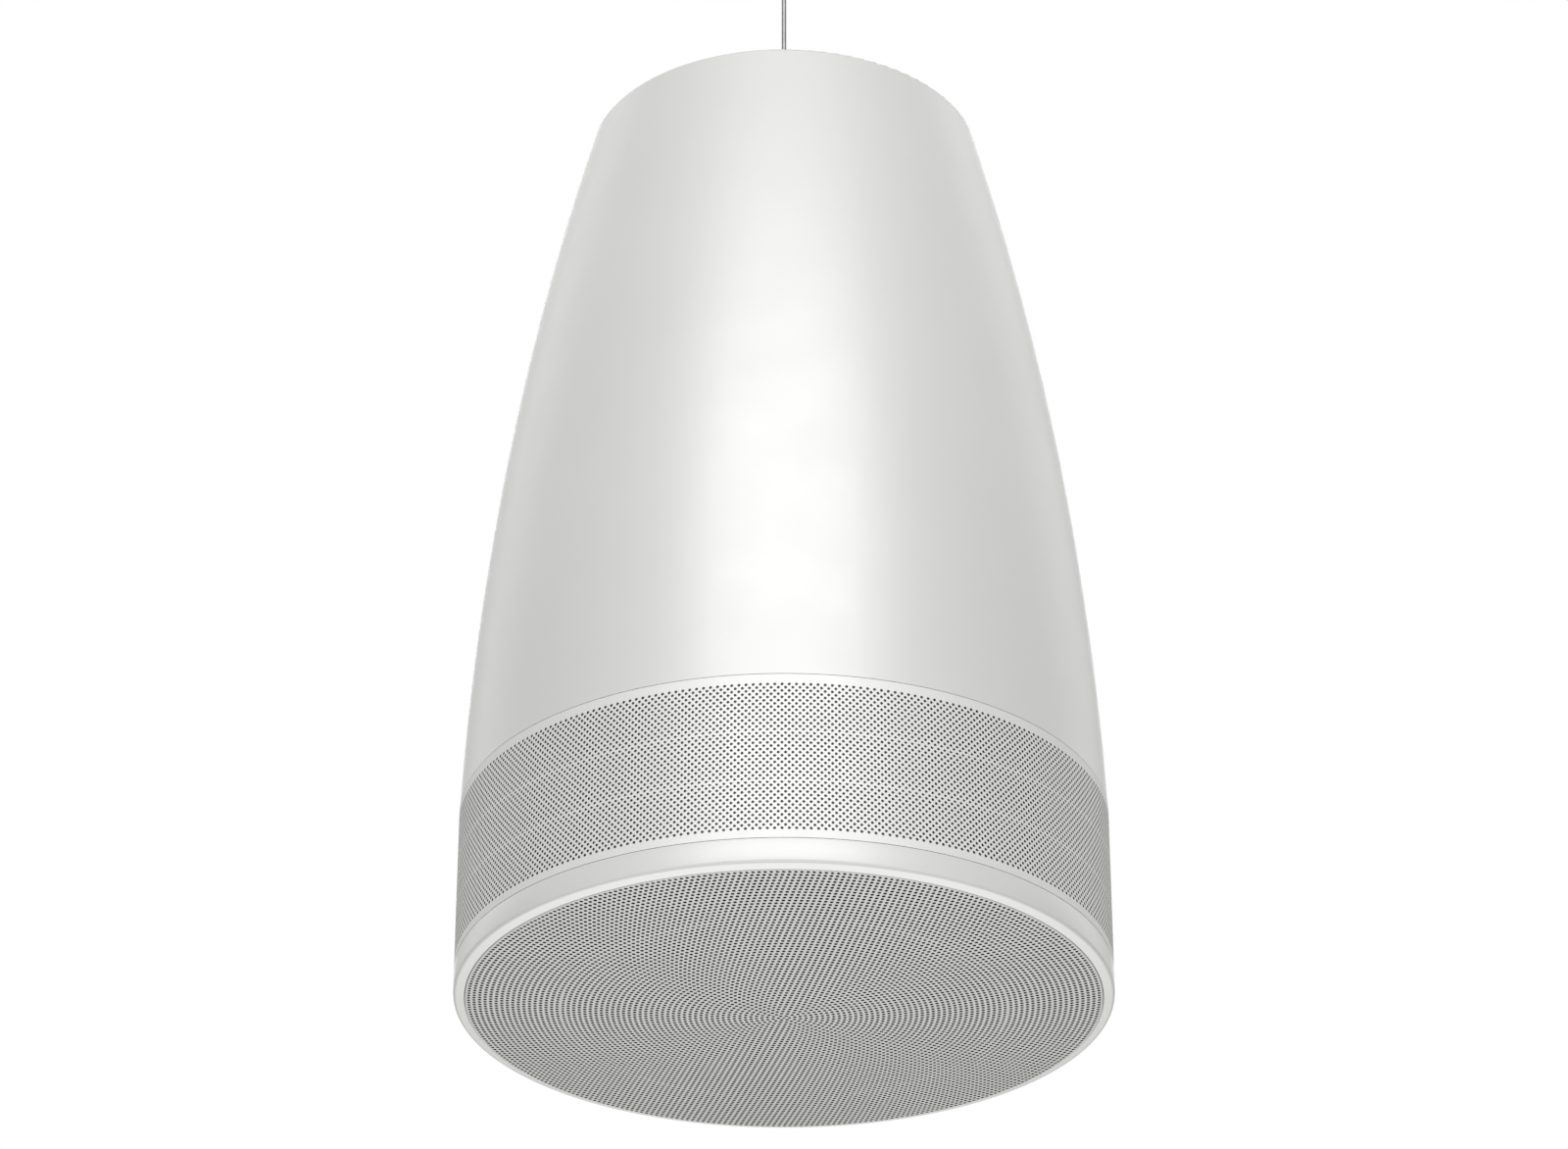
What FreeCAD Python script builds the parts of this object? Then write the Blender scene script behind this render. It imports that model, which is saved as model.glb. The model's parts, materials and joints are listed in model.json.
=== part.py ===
import FreeCAD, Part
import math
import os
import re

import Sketcher

# A pendant speaker: a bullet-shaped white enclosure that hangs on one steel cable. A woofer with a
# small tweeter in its middle fires down through a domed perforated grille, and a perforated band
# round the side covers the slots of the bass ports.
#
# Heights are measured upward from the rim of the bottom grille. Every sub-part is then lowered by
# the same drop, so that the origin is the middle of the ceiling anchor's face, which holds it all.

SIZES = {
    # outer form
    "body_radius": 160,
    "rim_radius": 102.3,
    "bezel_height": 13.7,
    "band_height": 84.1,
    "shell_height": 392.2,
    "shell_sweep": 1850,
    "rim_round": 1.6,
    "rim_bow": 2.08,
    "seam_gap": 0.3,
    "fit_gap": 0.3,
    # enclosure shell
    "shell_wall": 4,
    "shell_flange_width": 10,
    "shell_flange_height": 6,
    "ledge_width": 10,
    "ledge_height": 5,
    "panel_recess": 13,
    "joint_gasket": 1,
    "boss_radius": 4.2,
    "boss_height": 12,
    "pilot_radius": 1.6,
    "panel_screws": 6,
    # bezel and bottom grille
    "bevel_width": 5.5,
    "bevel_drop": 1.4,
    "bezel_wall": 3,
    "dome_sag": 6.5,
    "sheet": 1,
    "cloth": 0.8,
    "cloth_gap": 0.1,
    "lip_height": 7,
    "lip_ease": 0.25,
    "dome_rings": 6,
    "dome_hole": 7.6,
    "dome_margin": 10,
    # side grille
    "band_columns": 36,
    "band_rows": 6,
    "band_hole": 9,
    "band_margin": 5,
    # driver can and ports
    "can_wall": 4,
    "can_inset": 28,
    "skirt_inset": 14,
    "can_flange": 5,
    "baffle_height": 16,
    "baffle_thickness": 9,
    "baffle_skin": 1,
    "fin_thickness": 3,
    "port_count": 8,
    "port_width": 8,
    "port_arc": 34,
    "port_wall": 2,
    "port_length": 56,
    # woofer
    "frame_radius": 105,
    "frame_lip": 17,
    "frame_thickness": 3,
    "frame_depth": 62,
    "frame_skin": 2.5,
    "cutout_gap": 1,
    "basket_rim": 5,
    "basket_eye": 10,
    "spider_clear": 1.25,
    "spokes": 6,
    "woofer_gasket": 1.5,
    "woofer_screws": 8,
    "roll_width": 12,
    "cone_depth": 30,
    "cone_skin": 1.2,
    "cone_bow": 150,
    "surround_lip": 5,
    "surround_skin": 0.8,
    "coil_radius": 19,
    "coil_skin": 0.4,
    "winding": 0.8,
    "winding_height": 12,
    "coil_play": 0.8,
    "pole_gap": 1,
    "spider_radius": 48,
    "spider_skin": 0.6,
    "spider_wave": 1.4,
    "spider_waves": 3,
    "plate_thickness": 6,
    "plate_radius": 54,
    "magnet_radius": 60,
    "magnet_bore": 32,
    "magnet_height": 18,
    # tweeter
    "post_radius": 5,
    "tweeter_radius": 19,
    "tweeter_height": 13,
    "tweeter_top": 30,
    "tweeter_skin": 1.5,
    "tweeter_dome": 12.5,
    "tweeter_rise": 4,
    # damping
    "lining_thickness": 14,
    "lining_foot": 80.2,
    "lining_drop": 43,
    # top panel and what it carries
    "panel_thickness": 3,
    "panel_gasket": 1,
    "chassis_thickness": 3,
    "chassis_bolts": 4,
    "chassis_margin": 3,
    "stud_radius": 4,
    "bolt_clearance": 0.2,
    "socket_radius": 8.5,
    "socket_base": 8,
    "socket_taper": 24,
    "washer_radius": 9,
    "washer_thickness": 1.6,
    "nut_flats": 13,
    "nut_height": 6.5,
    "small_nut": 3.2,
    # cable and its ceiling end
    "cable_radius": 1.5,
    "cable_clear": 0.05,
    "cable_seat": 12,
    "cable_visible": 92,
    "coupler_radius": 7,
    "coupler_height": 30,
    "collar_radius": 4.5,
    "collar_height": 6,
    "anchor_radius": 22,
    "anchor_height": 7,
    "anchor_round": 1.5,
    "anchor_bow": 1.52,
    "anchor_screws": 3,
    "anchor_circle": 15,
    "anchor_hole": 2.3,
    "coupler_stud": 3,
    # safety lug
    "lug_width": 18,
    "lug_thickness": 3,
    "lug_foot": 16,
    "lug_height": 28,
    "lug_hole": 5,
    "lug_margin": 10,
    # input terminals
    "cover_length": 62,
    "cover_depth": 44,
    "cover_height": 22,
    "cover_wall": 2.5,
    "cover_round": 5,
    "cover_ear": 9,
    "ear_width": 12.6,
    "cover_margin": 4.3,
    "block_length": 34,
    "block_depth": 16,
    "block_height": 13,
    "block_poles": 4,
    "block_pitch": 7.6,
    "block_shift": 6,
    "terminal_radius": 1.9,
    "gland_bore": 4,
    "gland_thread": 7.5,
    "gland_flats": 19,
    "gland_base": 5,
    "gland_cap": 8.5,
    "gland_lock": 4.5,
    "gland_dome": 9,
    # tap selector
    "selector_out": 62,
    "knob_radius": 11,
    "knob_height": 10,
    "knob_grip": 5,
    "knob_gap": 0.4,
    "shaft_radius": 3,
    "dial_radius": 16,
    "dial_thickness": 1.2,
    "switch_size": 22,
    "switch_height": 14,
    "shaft_clear": 0.05,
    # transformer and crossover
    "core_width": 50,
    "core_height": 40,
    "core_arm": 9,
    "core_stack": 22,
    "core_out": 44,
    "winding_out": 9,
    "clamp_thickness": 1.5,
    "clamp_foot": 7,
    "board_width": 46,
    "board_length": 84,
    "board_thickness": 1.6,
    "board_out": 40,
    "board_hang": 26,
    "standoff_radius": 3,
    "standoff_inset": 5,
    "choke_radius": 13,
    "choke_height": 11,
    "choke_bore": 5,
    "capacitor_radius": 6,
    "capacitor_length": 24,
    # fasteners
    "screw_radius": 2,
    "screw_head": 3.8,
    "bolt_inset": 7.6,
    "screw_head_height": 2.4,
    "screw_length": 12,
    "bolt_length": 11,
}

doc = FreeCAD.newDocument("pendant_speaker")
sheet = doc.addObject("Spreadsheet::Sheet", "Sizes")
for row, (alias, number) in enumerate(SIZES.items(), start=1):
    sheet.set(f"A{row}", alias.replace("_", " "))
    sheet.set(f"B{row}", str(number))
    sheet.setAlias(f"B{row}", alias)
doc.recompute()

# Heights above the rim of the bottom grille, as expressions on the sheet.
SEAM_LOW = "bezel_height"
SEAM_HIGH = "(bezel_height + band_height)"
TOP = "(bezel_height + band_height + shell_height)"
PANEL_TOP = f"({TOP} - panel_recess)"
SCREW_SEAT = f"({PANEL_TOP} + block_height / 2)"
PANEL_LOW = f"({PANEL_TOP} - panel_thickness)"
LEDGE_TOP = f"({PANEL_LOW} - panel_gasket)"
CHASSIS_LOW = f"({PANEL_LOW} - chassis_thickness)"
SOCKET_LOW = f"({PANEL_TOP} + washer_thickness)"
SOCKET_TOP = f"({SOCKET_LOW} + socket_base + socket_taper)"
COUPLER_LOW = f"({SOCKET_TOP} + cable_visible)"
COUPLER_TOP = f"({COUPLER_LOW} + collar_height + coupler_height)"
ANCHOR_TOP = f"({COUPLER_TOP} + anchor_height)"

# Radii and heights that several pieces share.
SEAT = "(rim_radius - shell_wall)"
LEDGE_IN = f"({SEAT} - ledge_width)"
SCREW_CIRCLE = f"({SEAT} - ledge_width / 2)"
GRILLE_EDGE = "(body_radius - bevel_width)"
DOME_EDGE = f"({GRILLE_EDGE} - fit_gap)"
BAND_IN = "(body_radius - sheet)"
CLOTH_OUT = f"({BAND_IN} - cloth_gap)"
FIN_OUT = f"({CLOTH_OUT} - cloth - cloth_gap)"
BEZEL_IN = "(body_radius - bezel_wall)"
SHELL_STEP = "(body_radius - shell_wall)"
SHELL_FLANGE_IN = f"({SHELL_STEP} - shell_flange_width)"
JOINT_CIRCLE = f"({SHELL_STEP} - shell_flange_width / 2)"
BAY_MIDDLE = "180 / port_count"
JOINT_X = f"({JOINT_CIRCLE} * cos({BAY_MIDDLE}))"
JOINT_Y = f"({JOINT_CIRCLE} * sin({BAY_MIDDLE}))"
PORT_OUT = f"({SHELL_FLANGE_IN} - fit_gap)"
PORT_SLOT_OUT = f"({PORT_OUT} - port_wall)"
PORT_SLOT_IN = f"({PORT_SLOT_OUT} - port_width)"
PORT_IN = f"({PORT_SLOT_IN} - port_wall)"
CAN_OUT = "(body_radius - can_inset)"
CAN_IN = f"({CAN_OUT} - can_wall)"
SKIRT_OUT = "(body_radius - skirt_inset)"
OPENING = "(frame_radius - frame_lip)"
CONE_OUT = f"({OPENING} - roll_width)"
CUTOUT = f"({OPENING} + frame_skin + cutout_gap)"
FRAME_TOP = "(baffle_height - woofer_gasket)"
FRAME_LOW = f"({FRAME_TOP} - frame_thickness)"
WOOFER_CIRCLE = f"(({CUTOUT} + frame_radius) / 2)"
BASKET_TOP = f"({FRAME_LOW} + frame_depth + frame_skin)"
MAGNET_LOW = f"({BASKET_TOP} + plate_thickness)"
MAGNET_TOP = f"({MAGNET_LOW} + magnet_height)"
BACK_TOP = f"({MAGNET_TOP} + plate_thickness)"
NECK = f"({FRAME_LOW} + cone_depth)"
COIL_OUT = "(coil_radius + coil_skin)"
SPIDER_HEIGHT = f"({NECK} + cone_depth / 2)"
COIL_MIDDLE = f"({BASKET_TOP} + plate_thickness / 2)"
TWEETER_LOW = "(tweeter_top - tweeter_height)"
COVER_Y = f"(0 - ({LEDGE_IN} - cover_margin - cover_depth / 2))"
LUG_Y = f"({LEDGE_IN} - lug_foot - lug_margin)"
CHASSIS_RADIUS = f"({LEDGE_IN} - chassis_margin)"
BOLT_CIRCLE = f"({CHASSIS_RADIUS} - bolt_inset)"
BOARD_TOP = f"({CHASSIS_LOW} - board_hang)"


def on_sheet(text):
    """The same expression with each alias read from the sheet."""
    return re.sub(r"[a-z_]+", lambda m: f"Sizes.{m.group()}" if m.group() in SIZES else m.group(), text)


def value(text):
    return float(sheet.evalExpression(on_sheet(text)))


def bind(thing, setting, text):
    thing.setExpression(setting, on_sheet(text))


def shell_radius(height, inset="0"):
    """Radius of the shell's long side curve at a height, moved inward square to the curve."""
    fall = "(body_radius - rim_radius)"
    chord = f"sqrt({fall}^2 + shell_height^2)"
    back = f"(sqrt(shell_sweep^2 - ({chord} / 2)^2) / {chord})"
    middle_r = f"((body_radius + rim_radius) / 2 - {back} * shell_height)"
    middle_z = f"(({SEAM_HIGH} + {TOP}) / 2 - {back} * {fall})"
    return f"({middle_r} + sqrt((shell_sweep - {inset})^2 - ({height} - {middle_z})^2))"


def new_body(name, x="0", y="0"):
    """A sub-part whose own upright axis stands at a point of the plan."""
    body = doc.addObject("PartDesign::Body", name)
    body.Label = name
    body.AllowCompound = True
    bind(body, "Placement.Base.x", x)
    bind(body, "Placement.Base.y", y)
    bind(body, "Placement.Base.z", f"0 - {ANCHOR_TOP}")
    return body


def datum(body, role):
    return next(item for item in body.Origin.OriginFeatures if item.Role == role)


def new_sketch(body, plane="XZ_Plane", offset="0"):
    sketch = body.newObject("Sketcher::SketchObject", f"{body.Name}_sketch")
    sketch.AttachmentSupport = (datum(body, plane), [""])
    sketch.MapMode = "FlatFace"
    if offset != "0":
        bind(sketch, "AttachmentOffset.Base.z", offset)
    return sketch


def hold(sketch, kind, geometry, end, text, name):
    """One distance of a point from the sketch's origin, read from the sheet."""
    if text == "0":
        axis = -2 if kind == "DistanceX" else -1
        sketch.addConstraint(Sketcher.Constraint("PointOnObject", geometry, end, axis))
        return
    index = sketch.addConstraint(Sketcher.Constraint(kind, -1, 1, geometry, end, value(text)))
    sketch.renameConstraint(index, name)
    bind(sketch, f"Constraints.{name}", text)


def arc_between(start, finish, radius, side):
    """The short arc that bows to the right or left of the way from start to finish."""
    way = finish.sub(start)
    across = FreeCAD.Vector(way.y, -way.x, 0).normalize()
    if side == "left":
        across = across.negative()
    back = math.sqrt(max(radius**2 - (way.Length / 2) ** 2, 0))
    centre = (start + finish).multiply(0.5).sub(across.multiply(back))
    first, last = (start, finish) if side == "right" else (finish, start)
    circle = Part.Circle(centre, FreeCAD.Vector(0, 0, 1), radius)
    angles = [math.atan2(p.y - centre.y, p.x - centre.x) for p in (first, last)]
    return Part.ArcOfCircle(circle, *angles)


def outline(sketch, corners, label="p"):
    """A closed outline through corners, each (x, y) or (x, y, arc radius, side) for a bowed edge."""
    points = [FreeCAD.Vector(value(c[0]), value(c[1]), 0) for c in corners]
    ends = []
    for i, corner in enumerate(corners):
        here, there = points[i], points[(i + 1) % len(points)]
        if len(corner) == 2:
            edge = sketch.addGeometry(Part.LineSegment(here, there), False)
            ends.append((edge, 1, 2))
            continue
        edge = sketch.addGeometry(arc_between(here, there, value(corner[2]), corner[3]), False)
        ends.append((edge, 1, 2) if corner[3] == "right" else (edge, 2, 1))
    for i, corner in enumerate(corners):
        edge, start, finish = ends[i]
        following = ends[(i + 1) % len(ends)]
        sketch.addConstraint(Sketcher.Constraint("Coincident", edge, finish, following[0], following[1]))
        hold(sketch, "DistanceX", edge, start, corner[0], f"{label}{i}x")
        hold(sketch, "DistanceY", edge, start, corner[1], f"{label}{i}y")
        if len(corner) == 4:
            index = sketch.addConstraint(Sketcher.Constraint("Radius", edge, value(corner[2])))
            sketch.renameConstraint(index, f"{label}{i}r")
            bind(sketch, f"Constraints.{label}{i}r", corner[2])
    return sketch


def ring_hole(sketch, x, y, radius, label="c"):
    """One circle whose middle and radius are read from the sheet."""
    middle = FreeCAD.Vector(value(x), value(y), 0)
    edge = sketch.addGeometry(Part.Circle(middle, FreeCAD.Vector(0, 0, 1), value(radius)), False)
    hold(sketch, "DistanceX", edge, 3, x, f"{label}x")
    hold(sketch, "DistanceY", edge, 3, y, f"{label}y")
    index = sketch.addConstraint(Sketcher.Constraint("Radius", edge, value(radius)))
    sketch.renameConstraint(index, f"{label}r")
    bind(sketch, f"Constraints.{label}r", radius)
    return sketch


def polygon(sketch, x, y, radius, sides, turn=0, label="g"):
    """A regular polygon of straight edges about a middle, read from the sheet."""
    corners = []
    for i in range(sides):
        angle = turn + 360 * i / sides
        corners.append((f"({x} + {radius} * cos({angle}))", f"({y} + {radius} * sin({angle}))"))
    return outline(sketch, corners, label)


def box_outline(sketch, x, y, width, depth, label="b"):
    """A rectangle centred on a point."""
    return outline(
        sketch,
        [
            (f"({x} - {width} / 2)", f"({y} - {depth} / 2)"),
            (f"({x} + {width} / 2)", f"({y} - {depth} / 2)"),
            (f"({x} + {width} / 2)", f"({y} + {depth} / 2)"),
            (f"({x} - {width} / 2)", f"({y} + {depth} / 2)"),
        ],
        label,
    )


def revolve(body, sketch):
    turn = body.newObject("PartDesign::Revolution", f"{body.Name}_turned")
    turn.Profile = sketch
    turn.ReferenceAxis = (sketch, ["V_Axis"])
    turn.Angle = 360
    sketch.Visibility = False
    return turn


def turned(name, corners, x="0", y="0"):
    """A piece turned about its upright axis from one outline of radius and height."""
    body = new_body(name, x, y)
    revolve(body, outline(new_sketch(body), corners))
    return body


def pad(body, sketch, length, symmetric=False):
    feature = body.newObject("PartDesign::Pad", f"{body.Name}_pad")
    feature.Profile = sketch
    bind(feature, "Length", length)
    feature.Midplane = symmetric
    return feature


def pocket(body, sketch, depth=None, upward=False):
    """A cut square to its sketch: downward through everything unless told otherwise."""
    feature = body.newObject("PartDesign::Pocket", f"{body.Name}_cut")
    feature.Profile = sketch
    feature.Reversed = upward
    if depth is None:
        feature.Type = 1
    else:
        bind(feature, "Length", depth)
    return feature


def repeat_round(body, features, count):
    """Copies of features spread evenly round the upright axis."""
    pattern = body.newObject("PartDesign::PolarPattern", f"{body.Name}_round")
    pattern.Originals = features if isinstance(features, list) else [features]
    pattern.Axis = (datum(body, "Z_Axis"), [""])
    pattern.Angle = 360
    bind(pattern, "Occurrences", count)
    body.Tip = pattern
    return pattern


def block(body, x, y, low, width, depth, height):
    """A rectangular pad on the body, centred on a point of the plan."""
    return pad(body, box_outline(new_sketch(body, "XY_Plane", low), x, y, width, depth), height)


def cylinder(body, x, y, low, radius, height):
    return pad(body, ring_hole(new_sketch(body, "XY_Plane", low), x, y, radius), height)


def drill(body, x, y, low, radius, height):
    """A round hole between two heights."""
    sketch = ring_hole(new_sketch(body, "XY_Plane", f"{low} + {height}"), x, y, radius)
    return pocket(body, sketch, height)


def enclosure_shell():
    foot = f"({SEAM_HIGH} + seam_gap)"
    flange_low = f"({SEAM_HIGH} + joint_gasket)"
    flange_top = f"({flange_low} + shell_flange_height)"
    ledge_low = f"({LEDGE_TOP} - ledge_height)"
    crown = f"({TOP} - rim_round)"
    body = turned(
        "enclosure_shell",
        [
            ("body_radius", foot, "shell_sweep", "right"),
            (shell_radius(crown), crown, "rim_bow", "right"),
            (f"({shell_radius(crown)} - rim_round)", TOP),
            (SEAT, TOP),
            (SEAT, LEDGE_TOP),
            (LEDGE_IN, LEDGE_TOP),
            (LEDGE_IN, ledge_low),
            (shell_radius(ledge_low, "shell_wall"), ledge_low, "(shell_sweep - shell_wall)", "left"),
            (shell_radius(flange_top, "shell_wall"), flange_top),
            (SHELL_FLANGE_IN, flange_top),
            (SHELL_FLANGE_IN, flange_low),
            (SHELL_STEP, flange_low),
            (SHELL_STEP, foot),
        ],
    )
    low_boss = cylinder(body, JOINT_X, JOINT_Y, flange_top, "boss_radius", "boss_height")
    low_web = pad(body, joint_web(body, flange_top), "boss_height")
    low_pilot = drill(body, JOINT_X, JOINT_Y, flange_low, "pilot_radius", "screw_length")
    repeat_round(body, [low_boss, low_web, low_pilot], "port_count")
    boss_low = f"({ledge_low} - boss_height)"
    screw_end = f"({LEDGE_TOP} - screw_length)"
    high_boss = cylinder(body, SCREW_CIRCLE, "0", boss_low, "boss_radius", "boss_height")
    high_pilot = drill(body, SCREW_CIRCLE, "0", screw_end, "pilot_radius", "screw_length")
    repeat_round(body, [high_boss, high_pilot], "panel_screws")
    return body


def joint_web(body, height):
    """The outline that bridges one joint boss and the wall beside it."""
    sketch = new_sketch(body, "XY_Plane", height)
    wall = f"({SHELL_STEP} + shell_wall / 4)"
    corners = []
    for radius, side in ((JOINT_CIRCLE, 1), (wall, 1), (wall, -1), (JOINT_CIRCLE, -1)):
        x = f"({radius} * cos({BAY_MIDDLE}) + {side} * boss_radius * sin({BAY_MIDDLE}))"
        y = f"({radius} * sin({BAY_MIDDLE}) - {side} * boss_radius * cos({BAY_MIDDLE}))"
        corners.append((x, y))
    return outline(sketch, corners)


def driver_can():
    """Baffle, inner wall and two flanges in one moulding, with fins that carry the side grille."""
    skirt_low = "lip_height"
    margin_top = f"({SEAM_LOW} + band_margin)"
    flange_low = f"({SEAM_HIGH} - can_flange)"
    baffle_top = "(baffle_height + baffle_thickness)"
    body = turned(
        "driver_can",
        [
            (CUTOUT, "baffle_height"),
            (SKIRT_OUT, "baffle_height"),
            (SKIRT_OUT, skirt_low),
            (f"({BEZEL_IN} - fit_gap)", skirt_low),
            (f"({BEZEL_IN} - fit_gap)", SEAM_LOW),
            (FIN_OUT, SEAM_LOW),
            (FIN_OUT, margin_top),
            (CAN_OUT, f"({baffle_top} + can_wall)"),
            (CAN_OUT, flange_low),
            (FIN_OUT, flange_low),
            (FIN_OUT, SEAM_HIGH),
            (CAN_IN, SEAM_HIGH),
            (CAN_IN, baffle_top),
            (CUTOUT, baffle_top),
        ],
    )
    fin = new_sketch(body)
    root = f"({CAN_OUT} - can_wall / 2)"
    low = f"({SEAM_LOW} + band_margin / 2)"
    outline(fin, [(root, low), (FIN_OUT, low), (FIN_OUT, f"({SEAM_HIGH} - can_flange / 2)"),
                  (root, f"({SEAM_HIGH} - can_flange / 2)")])
    repeat_round(body, pad(body, fin, "fin_thickness", symmetric=True), "port_count")
    slot = port_slot(body, SEAM_HIGH)
    repeat_round(body, pocket(body, slot, "can_flange"), "port_count")
    clearance = drill(body, JOINT_X, JOINT_Y, flange_low, "(screw_radius + bolt_clearance)", "can_flange")
    repeat_round(body, clearance, "port_count")
    blind = "(baffle_thickness - baffle_skin)"
    pilot = drill(body, WOOFER_CIRCLE, "0", "baffle_height", "pilot_radius", blind)
    repeat_round(body, pilot, "woofer_screws")
    return body


def port_slot(body, height):
    """The outline of one arc-shaped slot, half way between two fins."""
    sketch = new_sketch(body, "XY_Plane", height)
    low = "(180 / port_count - port_arc / 2)"
    high = "(180 / port_count + port_arc / 2)"
    corners = []
    for radius, first, bow in ((PORT_SLOT_OUT, low, "right"), (PORT_SLOT_IN, high, "left")):
        last = high if first == low else low
        corners.append((f"({radius} * cos({first}))", f"({radius} * sin({first}))", radius, bow))
        corners.append((f"({radius} * cos({last}))", f"({radius} * sin({last}))"))
    return outline(sketch, corners)


def port_ring():
    """Arc-shaped ducts that lead from the enclosure down into the bays behind the side grille."""
    top = f"({SEAM_HIGH} + port_length)"
    body = turned("port_ring", [(PORT_OUT, SEAM_HIGH), (PORT_OUT, top), (PORT_IN, top), (PORT_IN, SEAM_HIGH)])
    repeat_round(body, pocket(body, port_slot(body, top)), "port_count")
    return body


def joint_gasket():
    low = SEAM_HIGH
    high = f"({SEAM_HIGH} + joint_gasket)"
    outer = f"({SHELL_STEP} - fit_gap)"
    body = turned(
        "joint_gasket",
        [(outer, low), (outer, high), (SHELL_FLANGE_IN, high), (SHELL_FLANGE_IN, low)],
    )
    hole = drill(body, JOINT_X, JOINT_Y, low, "(screw_radius + bolt_clearance)", "joint_gasket")
    repeat_round(body, hole, "port_count")
    return body


def screws_round(name, x, y, seat, count, length="screw_length", head_up=False):
    """A ring of separate screws, heads on the seat height and shanks pointing away from them."""
    body = new_body(name)
    if head_up:
        head_low, shank_low = seat, f"({seat} - {length})"
    else:
        head_low, shank_low = f"({seat} - screw_head_height)", seat
    head = cylinder(body, x, y, head_low, "screw_head", "screw_head_height")
    stem = cylinder(body, x, y, shank_low, "pilot_radius", length)
    repeat_round(body, [head, stem], count)
    return body


def lower_bezel():
    return turned(
        "lower_bezel",
        [
            (GRILLE_EDGE, "0"),
            ("body_radius", "bevel_drop"),
            ("body_radius", SEAM_LOW),
            (BEZEL_IN, SEAM_LOW),
            (BEZEL_IN, "lip_height"),
            (GRILLE_EDGE, "lip_height"),
        ],
    )


def dome_bow(sag, edge=DOME_EDGE):
    return f"(({edge}^2 + {sag}^2) / (2 * {sag}))"


def perforated(name, blank, holes):
    """A sheet-metal blank with all its holes cut at once."""
    tools = doc.addObject("Part::Feature", f"{name}_holes")
    tools.Shape = Part.makeCompound(holes)
    bind(tools, "Placement.Base.z", f"0 - {ANCHOR_TOP}")
    cut = doc.addObject("Part::Cut", name)
    cut.Label = name
    cut.Base = blank
    cut.Tool = tools
    return cut


def hole_prism(radius, middle, way, length):
    """A six-sided punch of a given length along a direction, centred on a point."""
    across = way.cross(FreeCAD.Vector(0, 0, 1))
    if across.Length < abs(way.z):
        across = FreeCAD.Vector(middle.x, middle.y, 0)
    across.normalize()
    along = way.cross(across)
    corners = []
    for i in range(6):
        turn = math.pi * i / 3
        out = across * math.cos(turn) + along * math.sin(turn)
        corners.append(middle + out * radius - way * (length / 2))
    return Part.Face(Part.makePolygon(corners + corners[:1])).extrude(way * length)


def bottom_grille():
    """Domed disc with a turned-up lip, perforated in rings that hold six more holes each time."""
    inner_edge = f"({DOME_EDGE} - sheet)"
    inner_sag = "(dome_sag - lip_ease)"
    blank = turned(
        "bottom_grille_blank",
        [
            ("0", "(0 - dome_sag)", dome_bow("dome_sag"), "right"),
            (DOME_EDGE, "0"),
            (DOME_EDGE, "lip_height"),
            (inner_edge, "lip_height"),
            (inner_edge, "(sheet - lip_ease)", dome_bow(inner_sag, inner_edge), "left"),
            ("0", "(sheet - dome_sag)"),
        ],
    )
    rings = int(value("dome_rings"))
    step = (value(DOME_EDGE) - value("dome_margin")) / rings
    up = FreeCAD.Vector(0, 0, 1)
    depth = 2 * value("dome_sag + lip_height")
    holes = []
    for ring in range(1, rings + 1):
        for k in range(6 * ring):
            turn = math.pi * k / (3 * ring)
            middle = FreeCAD.Vector(math.cos(turn), math.sin(turn), 0) * (step * ring)
            holes.append(hole_prism(value("dome_hole") / 2, middle, up, depth))
    return perforated("bottom_grille", blank, holes)


def bottom_cloth():
    """Grille cloth that lies on the inside of the domed sheet."""
    edge = f"({DOME_EDGE} - sheet - fit_gap)"
    low = "(sheet + cloth_gap)"
    sag = "(dome_sag - lip_ease)"
    return turned(
        "bottom_cloth",
        [
            ("0", f"({low} - dome_sag)", dome_bow(sag, edge), "right"),
            (edge, f"({low} - lip_ease)"),
            (edge, f"({low} - lip_ease + cloth)", dome_bow(sag, edge), "left"),
            ("0", f"({low} - dome_sag + cloth)"),
        ],
    )


def side_grille():
    """Perforated band, its rows of holes staggered by half a step."""
    low = f"({SEAM_LOW} + seam_gap)"
    blank = turned(
        "side_grille_blank",
        [("body_radius", low), ("body_radius", SEAM_HIGH), (BAND_IN, SEAM_HIGH), (BAND_IN, low)],
    )
    rows, columns = int(value("band_rows")), int(value("band_columns"))
    radius = value("band_hole") / 2
    first = value(f"{SEAM_LOW} + band_margin") + radius
    rise = (value(SEAM_HIGH) - value("band_margin") - radius - first) / (rows - 1)
    holes = []
    for row in range(rows):
        for column in range(columns):
            turn = 2 * math.pi * (column + row % 2 / 2) / columns
            way = FreeCAD.Vector(math.cos(turn), math.sin(turn), 0)
            middle = way * value(BAND_IN) + FreeCAD.Vector(0, 0, first + rise * row)
            holes.append(hole_prism(radius, middle, way, value("band_hole")))
    return perforated("side_grille", blank, holes)


def side_cloth():
    inner = f"({CLOTH_OUT} - cloth)"
    low = f"({SEAM_LOW} + seam_gap)"
    return turned("side_cloth", [(CLOTH_OUT, low), (CLOTH_OUT, SEAM_HIGH), (inner, SEAM_HIGH), (inner, low)])


def woofer_gasket():
    body = turned(
        "woofer_gasket",
        [(CUTOUT, FRAME_TOP), ("frame_radius", FRAME_TOP), ("frame_radius", "baffle_height"),
         (CUTOUT, "baffle_height")],
    )
    hole = drill(body, WOOFER_CIRCLE, "0", FRAME_TOP, "(pilot_radius + bolt_clearance)", "woofer_gasket")
    repeat_round(body, hole, "woofer_screws")
    return body


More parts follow.
